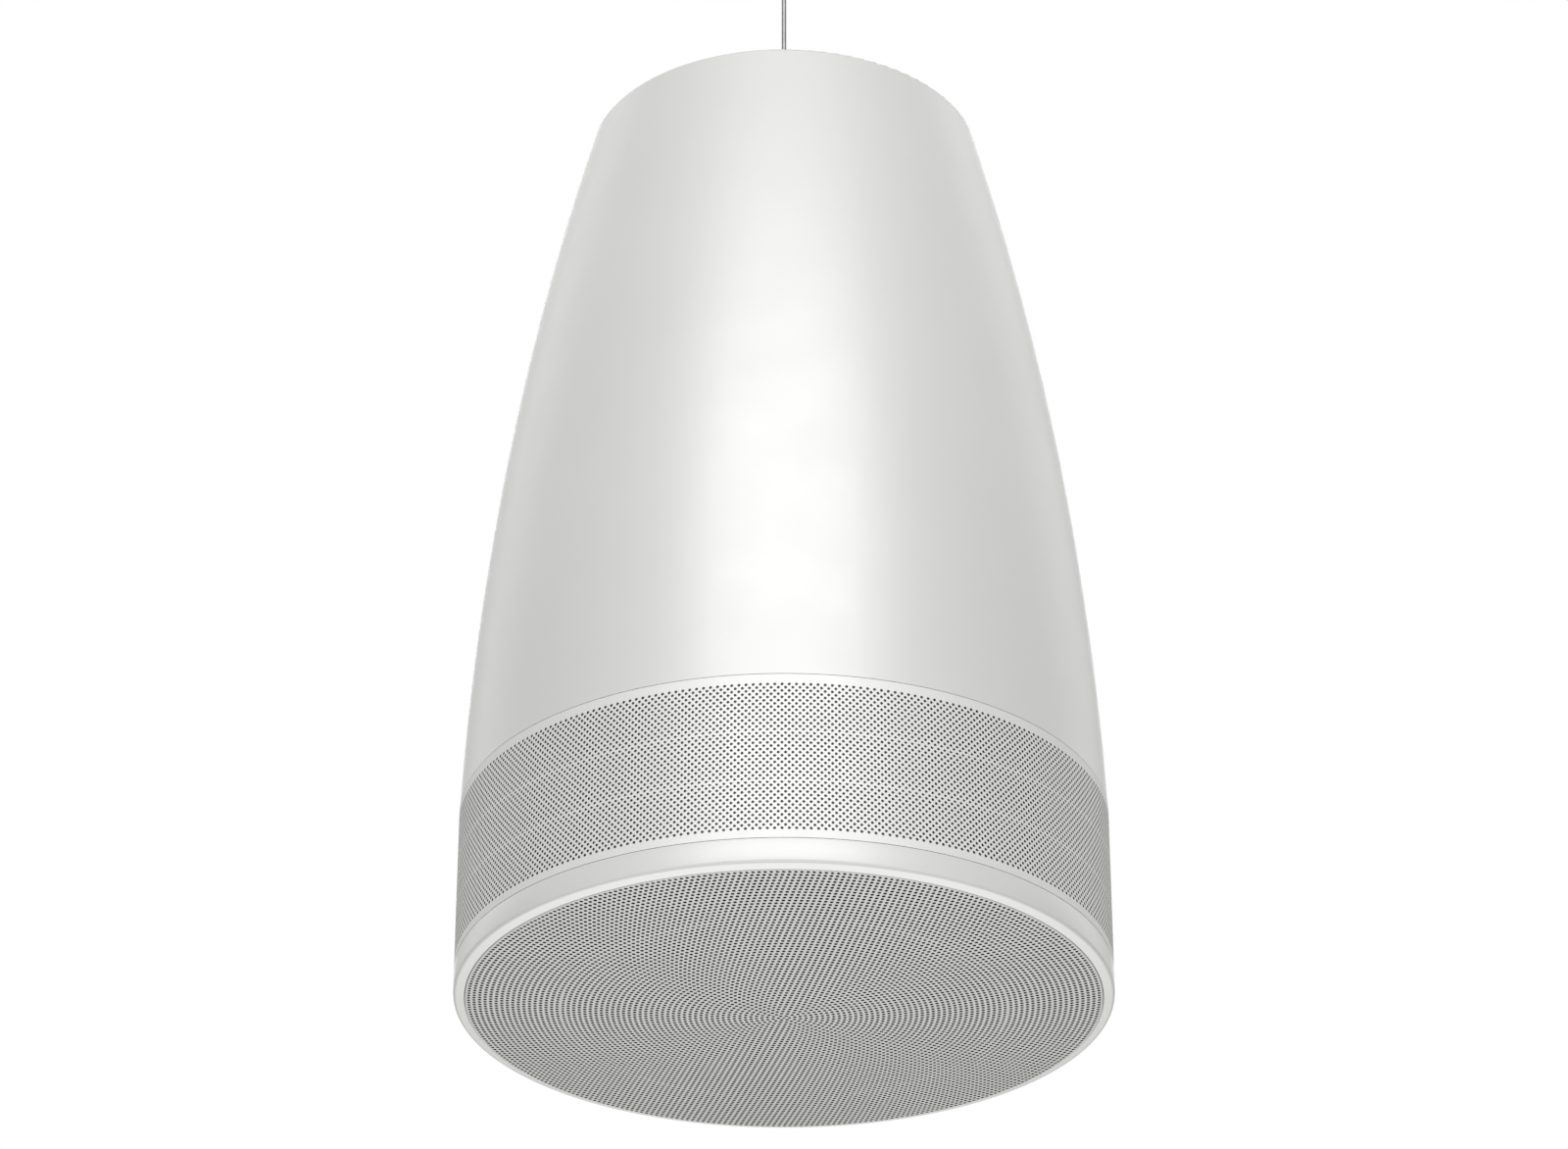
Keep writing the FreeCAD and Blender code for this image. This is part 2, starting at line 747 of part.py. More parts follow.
def woofer_basket():
    """Flange, open conical frame, seat for the spider and the ring that carries the magnet."""
    wall_in = "(spider_radius + spider_clear)"
    wall_out = f"({wall_in} + frame_skin)"
    eye = "(coil_radius + basket_eye)"
    seat_top = f"({SPIDER_HEIGHT} + frame_skin)"
    body = turned(
        "woofer_basket",
        [
            (OPENING, FRAME_LOW),
            ("frame_radius", FRAME_LOW),
            ("frame_radius", FRAME_TOP),
            (f"({OPENING} + frame_skin)", FRAME_TOP),
            (wall_out, SPIDER_HEIGHT),
            (wall_out, BASKET_TOP),
            (eye, BASKET_TOP),
            (eye, f"({BASKET_TOP} - frame_skin)"),
            (wall_in, f"({BASKET_TOP} - frame_skin)"),
            (wall_in, seat_top),
            ("(spider_radius - basket_rim)", seat_top),
            ("(spider_radius - basket_rim)", SPIDER_HEIGHT),
            (wall_in, SPIDER_HEIGHT),
            (OPENING, FRAME_TOP),
        ],
    )
    low, high = f"({FRAME_TOP} + basket_rim)", f"({SPIDER_HEIGHT} - basket_rim)"
    wide = f"({OPENING} * sin(180 / spokes) - 2 * basket_rim)"
    narrow = "(spider_radius * sin(180 / spokes) - basket_rim)"
    window = new_sketch(body)
    outline(window, [(f"(0 - {wide})", low), (wide, low), (narrow, high), (f"(0 - {narrow})", high)])
    repeat_round(body, pocket(body, window), "spokes")
    hole = drill(body, WOOFER_CIRCLE, "0", FRAME_LOW, "(pilot_radius + bolt_clearance)", "frame_thickness")
    repeat_round(body, hole, "woofer_screws")
    return body


def motor():
    """Top plate, magnet ring, and the pole with its back plate."""
    gap_out = f"({COIL_OUT} + winding + coil_play)"
    pole = "(coil_radius - pole_gap)"
    return [
        turned("woofer_top_plate", [(gap_out, BASKET_TOP), ("plate_radius", BASKET_TOP),
                                    ("plate_radius", MAGNET_LOW), (gap_out, MAGNET_LOW)]),
        turned("woofer_magnet", [("magnet_bore", MAGNET_LOW), ("magnet_radius", MAGNET_LOW),
                                 ("magnet_radius", MAGNET_TOP), ("magnet_bore", MAGNET_TOP)]),
        turned("woofer_pole_piece", [("0", BASKET_TOP), (pole, BASKET_TOP), (pole, MAGNET_TOP),
                                     ("plate_radius", MAGNET_TOP), ("plate_radius", BACK_TOP),
                                     ("0", BACK_TOP)]),
    ]


def moving_parts():
    """Cone, former and winding, which travel together."""
    low = f"({FRAME_LOW} + cloth_gap)"
    winding_low = f"({COIL_MIDDLE} - winding_height / 2)"
    winding_high = f"({COIL_MIDDLE} + winding_height / 2)"
    return [
        turned(
            "woofer_cone",
            [
                (COIL_OUT, f"({NECK} - cone_skin)", "cone_bow", "left"),
                (CONE_OUT, low),
                (CONE_OUT, f"({low} + cone_skin)", "cone_bow", "right"),
                (COIL_OUT, NECK),
            ],
        ),
        turned("coil_former", [("coil_radius", f"({NECK} - 2 * cone_skin)"),
                               (COIL_OUT, f"({NECK} - 2 * cone_skin)"),
                               (COIL_OUT, f"({winding_high} + coil_play)"),
                               ("coil_radius", f"({winding_high} + coil_play)")]),
        turned("coil_winding", [(COIL_OUT, winding_low), (f"({COIL_OUT} + winding)", winding_low),
                                (f"({COIL_OUT} + winding)", winding_high), (COIL_OUT, winding_high)]),
    ]


def woofer_surround():
    """Half roll of rubber between the cone's edge and the frame, with a glued lip on each side."""
    roll = "(roll_width / 2)"
    middle = f"(({OPENING} + {CONE_OUT}) / 2)"
    face = f"({FRAME_LOW} - surround_skin)"
    return turned(
        "woofer_surround",
        [
            (f"({CONE_OUT} - surround_lip)", FRAME_LOW),
            (f"({CONE_OUT} - surround_lip)", face),
            (CONE_OUT, face, roll, "right"),
            (middle, f"({face} - {roll})", roll, "right"),
            (OPENING, face),
            (f"({OPENING} + surround_lip)", face),
            (f"({OPENING} + surround_lip)", FRAME_LOW),
            (f"({OPENING} - surround_skin)", FRAME_LOW),
            (f"({OPENING} - surround_skin)", face, f"({roll} - surround_skin)", "left"),
            (middle, f"({face} - {roll} + surround_skin)", f"({roll} - surround_skin)", "left"),
            (f"({CONE_OUT} + surround_skin)", face),
            (f"({CONE_OUT} + surround_skin)", FRAME_LOW),
        ],
    )


def woofer_spider():
    """Corrugated disc that centres the coil former in the frame."""
    inner = f"({COIL_OUT} + cloth_gap)"
    steps = 2 * int(value("spider_waves")) + 1
    ridge = []
    for i in range(steps + 1):
        radius = f"({inner} + (spider_radius - basket_rim - {inner}) * {i} / {steps})"
        ridge.append((radius, f"(0 - spider_wave * {i % 2})"))
    ridge.append(("spider_radius", "(0 - spider_wave)"))
    top = [(r, f"({SPIDER_HEIGHT} + spider_wave + {z})") for r, z in ridge]
    below = [(r, f"({SPIDER_HEIGHT} + spider_wave + {z} - spider_skin)") for r, z in reversed(ridge)]
    return turned("woofer_spider", top + below)


def tweeter():
    """Small dome unit that stands on a post in front of the pole."""
    cup_in = "(tweeter_radius - tweeter_skin)"
    floor = "(tweeter_top - tweeter_skin)"
    flange_low = f"({TWEETER_LOW} + 2 * tweeter_skin)"
    flange_top = f"({flange_low} + tweeter_skin / 2)"
    crown = f"({flange_low} - tweeter_rise)"
    bow = "((tweeter_dome^2 + tweeter_rise^2) / (2 * tweeter_rise))"
    return [
        turned("tweeter_post", [("0", "tweeter_top"), ("post_radius", "tweeter_top"),
                                ("post_radius", BASKET_TOP), ("0", BASKET_TOP)]),
        turned("tweeter_housing", [("0", "tweeter_top"), ("0", floor), (cup_in, floor), (cup_in, TWEETER_LOW),
                                   ("tweeter_radius", TWEETER_LOW), ("tweeter_radius", "tweeter_top")]),
        turned("tweeter_motor", [("0", floor), ("0", f"({flange_top} + tweeter_skin)"),
                                 ("tweeter_dome", f"({flange_top} + tweeter_skin)"),
                                 ("tweeter_dome", flange_top), (f"({cup_in} - fit_gap)", flange_top),
                                 (f"({cup_in} - fit_gap)", floor)]),
        turned("tweeter_diaphragm", [("0", crown, bow, "right"), ("tweeter_dome", flange_low),
                                     (f"({cup_in} - fit_gap)", flange_low),
                                     (f"({cup_in} - fit_gap)", flange_top),
                                     ("tweeter_dome", flange_top, bow, "left"),
                                     ("0", f"({crown} + tweeter_skin / 2)")]),
        turned("tweeter_ring", [(f"({cup_in} - fit_gap)", TWEETER_LOW), (f"({cup_in} - fit_gap)", flange_low),
                                ("(tweeter_dome + tweeter_skin)", flange_low),
                                ("(tweeter_dome + tweeter_skin)", TWEETER_LOW)]),
    ]


def damping_lining():
    """Wadding that lies against the inside of the shell."""
    out = "(shell_wall + fit_gap)"
    deep = "(shell_wall + fit_gap + lining_thickness)"
    low = f"({SEAM_HIGH} + lining_foot)"
    high = f"({LEDGE_TOP} - lining_drop)"
    return turned(
        "damping_lining",
        [
            (shell_radius(low, out), low, f"(shell_sweep - {out})", "right"),
            (shell_radius(high, out), high),
            (shell_radius(high, deep), high, f"(shell_sweep - {deep})", "left"),
            (shell_radius(low, deep), low),
        ],
    )


def at_bolt_circle(body, low, radius, height, count):
    """Round holes on the mounting plate's bolt circle, half way between the row axes."""
    across = f"({BOLT_CIRCLE} * cos(180 / chassis_bolts))"
    along = f"({BOLT_CIRCLE} * sin(180 / chassis_bolts))"
    return repeat_round(body, drill(body, across, along, low, radius, height), count)


def through_holes(body, low, height):
    """Holes that the top panel and the mounting plate share, one above the other."""
    drill(body, "0", "0", low, "(stud_radius + bolt_clearance)", height)
    drill(body, "selector_out", "0", low, "(shaft_radius + fit_gap)", height)
    drill(body, "0", f"({LUG_Y} + lug_foot / 2)", low, "(screw_radius + bolt_clearance)", height)
    drill(body, "0", COVER_Y, low, "gland_bore", height)
    at_bolt_circle(body, low, "(screw_radius + bolt_clearance)", height, "chassis_bolts")


def top_panel():
    edge = f"({SEAT} - fit_gap)"
    body = turned("top_panel", [("0", PANEL_LOW), (edge, PANEL_LOW), (edge, PANEL_TOP), ("0", PANEL_TOP)])
    through_holes(body, PANEL_LOW, "panel_thickness")
    screw = drill(body, SCREW_CIRCLE, "0", PANEL_LOW, "(screw_radius + bolt_clearance)", "panel_thickness")
    repeat_round(body, screw, "panel_screws")
    return body


def panel_gasket():
    edge = f"({SEAT} - fit_gap)"
    body = turned("panel_gasket", [(LEDGE_IN, LEDGE_TOP), (edge, LEDGE_TOP), (edge, PANEL_LOW),
                                   (LEDGE_IN, PANEL_LOW)])
    screw = drill(body, SCREW_CIRCLE, "0", LEDGE_TOP, "(screw_radius + bolt_clearance)", "panel_gasket")
    repeat_round(body, screw, "panel_screws")
    return body


def mounting_plate():
    """Steel disc under the panel that takes the weight and carries the electrical parts."""
    body = turned("mounting_plate", [("0", CHASSIS_LOW), (CHASSIS_RADIUS, CHASSIS_LOW),
                                     (CHASSIS_RADIUS, PANEL_LOW), ("0", PANEL_LOW)])
    through_holes(body, CHASSIS_LOW, "chassis_thickness")
    return body


def plate_bolts():
    body = new_body("plate_bolts")
    across = f"({BOLT_CIRCLE} * cos(180 / chassis_bolts))"
    along = f"({BOLT_CIRCLE} * sin(180 / chassis_bolts))"
    head = cylinder(body, across, along, PANEL_TOP, "screw_head", "screw_head_height")
    stem = cylinder(body, across, along, f"({PANEL_TOP} - bolt_length)", "screw_radius", "bolt_length")
    repeat_round(body, [head, stem], "chassis_bolts")
    return body


def hex_nut(name, x, y, low, flats, height, bore):
    """A plain hexagon nut, or several of them at the same radius."""
    body = new_body(name, x, y)
    pad(body, polygon(new_sketch(body, "XY_Plane", low), "0", "0", f"({flats} / 2 / cos(30))", 6), height)
    drill(body, "0", "0", low, bore, height)
    return body


def plate_nuts():
    body = new_body("plate_nuts")
    across = f"({BOLT_CIRCLE} * cos(180 / chassis_bolts))"
    along = f"({BOLT_CIRCLE} * sin(180 / chassis_bolts))"
    low = f"({CHASSIS_LOW} - small_nut)"
    nut = pad(body, polygon(new_sketch(body, "XY_Plane", low), across, along, "screw_head", 6), "small_nut")
    bore = drill(body, across, along, low, "(screw_radius + shaft_clear)", "small_nut")
    repeat_round(body, [nut, bore], "chassis_bolts")
    return body


def suspension():
    """Cable socket with its washer and nut, the cable, and the coupler and anchor above it."""
    tail = f"({CHASSIS_LOW} - nut_height - washer_thickness)"
    tip = "(cable_radius * 2)"
    bore = "(cable_radius + cable_clear)"
    seat_low = f"({SOCKET_TOP} - cable_seat)"
    socket = turned(
        "cable_socket",
        [
            ("0", tail),
            ("stud_radius", tail),
            ("stud_radius", SOCKET_LOW),
            ("socket_radius", SOCKET_LOW),
            ("socket_radius", f"({SOCKET_LOW} + socket_base)"),
            (tip, SOCKET_TOP),
            (bore, SOCKET_TOP),
            (bore, seat_low),
            ("0", seat_low),
        ],
    )
    washer = turned(
        "socket_washer",
        [
            ("(stud_radius + bolt_clearance)", PANEL_TOP),
            ("washer_radius", PANEL_TOP),
            ("washer_radius", SOCKET_LOW),
            ("(stud_radius + bolt_clearance)", SOCKET_LOW),
        ],
    )
    nut = hex_nut("socket_nut", "0", "0", f"({CHASSIS_LOW} - nut_height)", "nut_flats", "nut_height",
                  "(stud_radius + shaft_clear)")
    high_seat = f"({COUPLER_LOW} + cable_seat)"
    cable = new_body("suspension_cable")
    cylinder(cable, "0", "0", seat_low, "cable_radius", f"({high_seat} - {seat_low})")
    shoulder = f"({COUPLER_LOW} + collar_height)"
    stud_top = f"({ANCHOR_TOP} - anchor_round)"
    coupler = turned(
        "cable_coupler",
        [
            (bore, COUPLER_LOW),
            ("collar_radius", COUPLER_LOW),
            ("collar_radius", shoulder),
            ("coupler_radius", shoulder),
            ("coupler_radius", COUPLER_TOP),
            ("coupler_stud", COUPLER_TOP),
            ("coupler_stud", stud_top),
            ("0", stud_top),
            ("0", high_seat),
            (bore, high_seat),
        ],
    )
    hole = "(coupler_stud + shaft_clear)"
    anchor = turned(
        "ceiling_anchor",
        [
            (hole, COUPLER_TOP),
            ("(anchor_radius - anchor_round)", COUPLER_TOP, "anchor_bow", "right"),
            ("anchor_radius", f"({COUPLER_TOP} + anchor_round)"),
            ("anchor_radius", ANCHOR_TOP),
            (hole, ANCHOR_TOP),
        ],
    )
    screw = drill(anchor, "anchor_circle", "0", COUPLER_TOP, "anchor_hole", "anchor_height")
    repeat_round(anchor, screw, "anchor_screws")
    return [socket, washer, nut, cable, coupler, anchor]


def safety_lug():
    """Bent steel tab with a hole for a second cable."""
    body = new_body("safety_lug")
    side = new_sketch(body, "YZ_Plane")
    outline(
        side,
        [
            (LUG_Y, PANEL_TOP),
            (f"({LUG_Y} + lug_foot)", PANEL_TOP),
            (f"({LUG_Y} + lug_foot)", f"({PANEL_TOP} + lug_thickness)"),
            (f"({LUG_Y} + lug_thickness)", f"({PANEL_TOP} + lug_thickness)"),
            (f"({LUG_Y} + lug_thickness)", f"({PANEL_TOP} + lug_height)"),
            (LUG_Y, f"({PANEL_TOP} + lug_height)"),
        ],
    )
    pad(body, side, "lug_width", symmetric=True)
    eye = new_sketch(body, "XZ_Plane")
    ring_hole(eye, "0", f"({PANEL_TOP} + lug_height - lug_width / 2)", "lug_hole")
    pocket(body, eye)
    foot_middle = f"({LUG_Y} + lug_foot / 2)"
    drill(body, "0", foot_middle, PANEL_TOP, "(screw_radius + bolt_clearance)", "lug_thickness")
    return body


def lug_bolt():
    body = new_body("lug_bolt", "0", f"({LUG_Y} + lug_foot / 2)")
    seat = f"({PANEL_TOP} + lug_thickness)"
    cylinder(body, "0", "0", seat, "screw_head", "screw_head_height")
    cylinder(body, "0", "0", f"({seat} - bolt_length)", "screw_radius", "bolt_length")
    return body


def terminal_block():
    """Input terminals: one well for each screw from above, and one way in for each wire below it."""
    body = new_body("terminal_block", "0", COVER_Y)
    block(body, "0", "block_shift", PANEL_TOP, "block_length", "block_depth", "block_height")
    for pole in range(int(value("block_poles"))):
        x = f"(block_pitch * ({pole} - (block_poles - 1) / 2))"
        drill(body, x, "block_shift", SCREW_SEAT, "terminal_radius", "(block_height / 2)")
        way_in = new_sketch(body, "XZ_Plane", "(0 - block_shift)")
        ring_hole(way_in, x, f"({PANEL_TOP} + block_height / 4)", "terminal_radius")
        pocket(body, way_in, "(block_depth / 2)", upward=True)
    return body


def terminal_screws():
    body = new_body("terminal_screws", "0", COVER_Y)
    for pole in range(int(value("block_poles"))):
        x = f"(block_pitch * ({pole} - (block_poles - 1) / 2))"
        cylinder(body, x, "block_shift", SCREW_SEAT, "(terminal_radius - shaft_clear)", "(block_height / 4)")
    return body


def is_upright(edge):
    """Whether a straight edge stands upright."""
    first, last = (vertex.Point for vertex in edge.Vertexes)
    return abs(last.z - first.z) > abs(last.x - first.x) + abs(last.y - first.y)


def terminal_cover():
    """Moulded hood over the terminals, with an ear and a screw at each end and a gland on its top."""
    body = new_body("terminal_cover", "0", COVER_Y)
    hood = block(body, "0", "0", PANEL_TOP, "cover_length", "cover_depth", "cover_height")
    doc.recompute()
    upright = [f"Edge{i}" for i, edge in enumerate(hood.Shape.Edges, start=1) if is_upright(edge)]
    rounds = body.newObject("PartDesign::Fillet", "cover_rounds")
    rounds.Base = (hood, upright)
    bind(rounds, "Radius", "cover_round")
    inside = box_outline(new_sketch(body, "XY_Plane", f"({PANEL_TOP} + cover_height - cover_wall)"), "0", "0",
                         "(cover_length - 2 * cover_wall)", "(cover_depth - 2 * cover_wall)")
    pocket(body, inside, "(cover_height - cover_wall)")
    for side in (-1, 1):
        x = f"({side} * (cover_length + cover_ear - cover_wall) / 2)"
        block(body, x, "0", PANEL_TOP, "(cover_ear + cover_wall)", "ear_width", "cover_wall")
        drill(body, f"({side} * (cover_length + cover_ear) / 2)", "0", PANEL_TOP,
              "(screw_radius + bolt_clearance)", "cover_wall")
    drill(body, "0", "0", f"({PANEL_TOP} + cover_height - cover_wall)", "(gland_thread + bolt_clearance)",
          "cover_wall")
    return body


def cover_screws():
    body = new_body("cover_screws", "0", COVER_Y)
    seat = f"({PANEL_TOP} + cover_wall)"
    for side in (-1, 1):
        x = f"({side} * (cover_length + cover_ear) / 2)"
        cylinder(body, x, "0", seat, "screw_head", "screw_head_height")
        cylinder(body, x, "0", PANEL_TOP, "screw_radius", "cover_wall")
    return body


def gland():
    """Cable inlet on the cover, held by a nut inside it."""
    top = f"({PANEL_TOP} + cover_height)"
    base_top = f"({top} + gland_base)"
    body = new_body("cable_gland", "0", COVER_Y)
    flats = polygon(new_sketch(body, "XY_Plane", top), "0", "0", "(gland_flats / 2 / cos(30))", 6)
    pad(body, flats, "gland_base")
    thread_low = f"({top} - cover_wall - nut_height)"
    cylinder(body, "0", "0", thread_low, "gland_thread", "(cover_wall + nut_height)")
    cylinder(body, "0", "0", base_top, "gland_cap", "gland_dome")
    whole = "(cover_wall + nut_height + gland_base + gland_dome)"
    drill(body, "0", "0", f"({top} - cover_wall - nut_height)", "gland_bore", whole)
    nut = hex_nut("gland_nut", "0", COVER_Y, f"({top} - cover_wall - gland_lock)", "gland_flats",
                  "gland_lock", "(gland_thread + shaft_clear)")
    return [body, nut]


def selector():
    """Rotary power tap switch: body under the plate, dial on the panel, knob on its shaft."""
    depth = "(switch_height / 2)"
    switch = new_body("selector_switch", "selector_out", "0")
    block(switch, "0", "0", f"({CHASSIS_LOW} - switch_height)", "switch_size", "switch_size", "switch_height")
    drill(switch, "0", "0", f"({CHASSIS_LOW} - {depth})", "(shaft_radius + shaft_clear)", depth)
    hole = "(shaft_radius + fit_gap)"
    dial_top = f"({PANEL_TOP} + dial_thickness)"
    dial = turned("selector_dial", [(hole, PANEL_TOP), ("dial_radius", PANEL_TOP), ("dial_radius", dial_top),
                                    (hole, dial_top)], "selector_out")
    knob_low = f"({dial_top} + knob_gap)"
    knob = turned("selector_knob", [("shaft_radius", knob_low), ("knob_radius", knob_low),
                                    ("knob_radius", f"({knob_low} + knob_height / 2)"),
                                    ("0", f"({knob_low} + knob_height / 2)"),
                                    ("0", f"({knob_low} + knob_height / 3)"),
                                    ("shaft_radius", f"({knob_low} + knob_height / 3)")], "selector_out")
    block(knob, "0", "0", f"({knob_low} + knob_height / 2)", "(2 * knob_radius - knob_grip / 2)", "knob_grip",
          "(knob_height / 2)")
    shaft_low = f"({CHASSIS_LOW} - {depth} + fit_gap)"
    shaft = new_body("selector_shaft", "selector_out", "0")
    cylinder(shaft, "0", "0", shaft_low, "shaft_radius", f"({knob_low} + knob_height / 3 - {shaft_low})")
    return [switch, dial, knob, shaft]


def transformer():
    """Laminated core with two windows, the winding round its middle leg, and a strap that holds it."""
    x = "(0 - core_out)"
    low = f"({CHASSIS_LOW} - core_height)"
    middle = f"({CHASSIS_LOW} - core_height / 2)"
    window = "(core_width / 2 - 2 * core_arm)"
    tall = "(core_height - 2 * core_arm)"
    core = new_body("transformer_core", x, "0")
    block(core, "0", "0", low, "core_width", "core_stack", "core_height")
    for side in (-1, 1):
        sketch = new_sketch(core, "XZ_Plane", "(0 - core_stack)")
        box_outline(sketch, f"({side} * (core_arm + {window} / 2))", middle, window, tall)
        pocket(core, sketch, "(2 * core_stack)", upward=True)
    winding = new_body("transformer_winding", x, "0")
    out = "(core_stack + 2 * winding_out)"
    wide = f"(2 * core_arm + 2 * {window} - 2 * fit_gap)"
    block(winding, "0", "0", f"({middle} - {tall} / 2 + fit_gap)", wide, out, f"({tall} - 2 * fit_gap)")
    leg = box_outline(new_sketch(winding, "XY_Plane", f"({middle} + {tall})"), "0", "0",
                      "(2 * core_arm + fit_gap)", "(core_stack + fit_gap)")
    pocket(winding, leg)
    strap = new_body("transformer_strap", x, "0")
    half = "(core_width / 2)"
    skin = "clamp_thickness"
    outer = f"({half} + {skin})"
    toe = f"({outer} + clamp_foot)"
    side_view = new_sketch(strap, "XZ_Plane")
    outline(
        side_view,
        [
            (f"(0 - {toe})", CHASSIS_LOW),
            (f"(0 - {toe})", f"({CHASSIS_LOW} - {skin})"),
            (f"(0 - {outer})", f"({CHASSIS_LOW} - {skin})"),
            (f"(0 - {outer})", f"({low} - {skin})"),
            (outer, f"({low} - {skin})"),
            (outer, f"({CHASSIS_LOW} - {skin})"),
            (toe, f"({CHASSIS_LOW} - {skin})"),
            (toe, CHASSIS_LOW),
            (half, CHASSIS_LOW),
            (half, low),
            (f"(0 - {half})", low),
            (f"(0 - {half})", CHASSIS_LOW),
        ],
    )
    pad(strap, side_view, "(core_stack - 2 * fit_gap)", symmetric=True)
    return [core, winding, strap]


def crossover():
    """Filter board on four standoffs, with two chokes and two capacitors on its lower side."""
    board_low = f"({BOARD_TOP} - board_thickness)"
    board = new_body("crossover_board", "board_out", "0")
    block(board, "0", "0", board_low, "board_width", "board_length", "board_thickness")
    pillars = new_body("board_standoffs", "board_out", "0")
    for side in (-1, 1):
        for end in (-1, 1):
            x = f"({side} * (board_width / 2 - standoff_inset))"
            y = f"({end} * (board_length / 2 - standoff_inset))"
            cylinder(pillars, x, y, BOARD_TOP, "standoff_radius", "board_hang")
    chokes = new_body("crossover_chokes", "board_out", "0")
    for end in (-1, 1):
        y = f"({end} * (board_length / 2 - choke_radius - standoff_inset / 2))"
        cylinder(chokes, "0", y, f"({board_low} - choke_height)", "choke_radius", "choke_height")
        drill(chokes, "0", y, f"({board_low} - choke_height)", "choke_bore", "choke_height")
    capacitors = new_body("crossover_capacitors", "board_out", "0")
    for end in (-1, 1):
        sketch = new_sketch(capacitors, "YZ_Plane")
        ring_hole(sketch, f"({end} * (capacitor_radius + fit_gap))", f"({board_low} - capacitor_radius)",
                  "capacitor_radius")
        pad(capacitors, sketch, "capacitor_length", symmetric=True)
    return [board, pillars, chokes, capacitors]


def main():
    pieces = [
        enclosure_shell(),
        driver_can(),
        port_ring(),
        joint_gasket(),
        screws_round("joint_screws", JOINT_X, JOINT_Y, f"({SEAM_HIGH} - can_flange)", "port_count"),
        lower_bezel(),
        bottom_grille(),
        bottom_cloth(),
        side_grille(),
        side_cloth(),
        woofer_gasket(),
        woofer_basket(),
        screws_round("woofer_screws", WOOFER_CIRCLE, "0", FRAME_LOW, "woofer_screws",
                     "(frame_thickness + woofer_gasket + baffle_thickness / 2)"),
        *motor(),
        *moving_parts(),
        woofer_surround(),
        woofer_spider(),
        *tweeter(),
        damping_lining(),
        panel_gasket(),
        top_panel(),
        screws_round("panel_screws", SCREW_CIRCLE, "0", PANEL_TOP, "panel_screws", head_up=True),
        mounting_plate(),
        plate_bolts(),
        plate_nuts(),
        *suspension(),
        safety_lug(),
        lug_bolt(),
        terminal_block(),
        terminal_screws(),
        terminal_cover(),
        cover_screws(),
        *gland(),
        *selector(),
        *transformer(),
        *crossover(),
    ]
    doc.recompute()
    failed = [item.Name for item in doc.Objects if {"Invalid", "Error"} & set(item.State)]
    if failed:
        raise RuntimeError(f"not built: {failed}")
    for piece in pieces:
        if piece.Shape.isNull() or not piece.Shape.isValid() or not piece.Shape.Solids:
            raise RuntimeError(f"no valid solid: {piece.Label}")
    os.makedirs("parts", exist_ok=True)
    for piece in pieces:
        piece.Shape.exportStep(f"parts/{piece.Label}.step")
    print(len(pieces), "sub-parts written")


main()
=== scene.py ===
import json
import math

import bpy
import numpy as np
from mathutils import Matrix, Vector


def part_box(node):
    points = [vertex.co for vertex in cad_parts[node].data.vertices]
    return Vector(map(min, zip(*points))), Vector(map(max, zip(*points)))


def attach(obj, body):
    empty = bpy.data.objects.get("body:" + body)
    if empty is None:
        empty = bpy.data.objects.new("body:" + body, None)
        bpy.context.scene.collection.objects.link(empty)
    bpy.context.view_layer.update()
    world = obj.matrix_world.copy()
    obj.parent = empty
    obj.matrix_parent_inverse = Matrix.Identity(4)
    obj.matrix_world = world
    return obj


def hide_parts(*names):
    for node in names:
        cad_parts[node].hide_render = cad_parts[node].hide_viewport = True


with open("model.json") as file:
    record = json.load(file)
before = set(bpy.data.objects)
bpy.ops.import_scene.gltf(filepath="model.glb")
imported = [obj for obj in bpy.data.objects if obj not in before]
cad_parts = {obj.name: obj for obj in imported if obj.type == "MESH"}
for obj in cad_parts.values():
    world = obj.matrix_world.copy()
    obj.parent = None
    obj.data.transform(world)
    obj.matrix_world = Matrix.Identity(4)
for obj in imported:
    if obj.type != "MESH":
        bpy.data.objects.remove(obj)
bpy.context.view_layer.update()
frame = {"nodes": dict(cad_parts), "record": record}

MM = 0.001
# Height of the bottom grille's rim in the row frame.
RIM_Z = -0.6456


def placed(name, data):
    obj = bpy.data.objects.new(name, data)
    bpy.context.scene.collection.objects.link(obj)
    return obj


# ------- camera
CAMERA_PLACE = (0.0, -2.16397, -1.59069)
CAMERA_PITCH = 28.662
LENS = 111.56

camera_data = bpy.data.cameras.new("camera")
camera_data.lens = LENS
camera_data.sensor_width = 36
camera_data.clip_start, camera_data.clip_end = 0.05, 60
camera = placed("camera", camera_data)
camera.location = CAMERA_PLACE
camera.rotation_euler = (math.radians(90 + CAMERA_PITCH), 0, 0)
bpy.context.scene.camera = camera
bpy.context.scene.view_settings.view_transform = "Standard"

# ------- materials
# The colour sockets of Blender's mix node: its two inputs and its output.
MIX_FIRST, MIX_SECOND, MIX_RESULT = 6, 7, 2
# The parts of a noise pattern's range that the colour and the roughness run through.
COLOUR_RANGE = (0.3, 0.7)
ROUGH_RANGE = (0.25, 0.75)


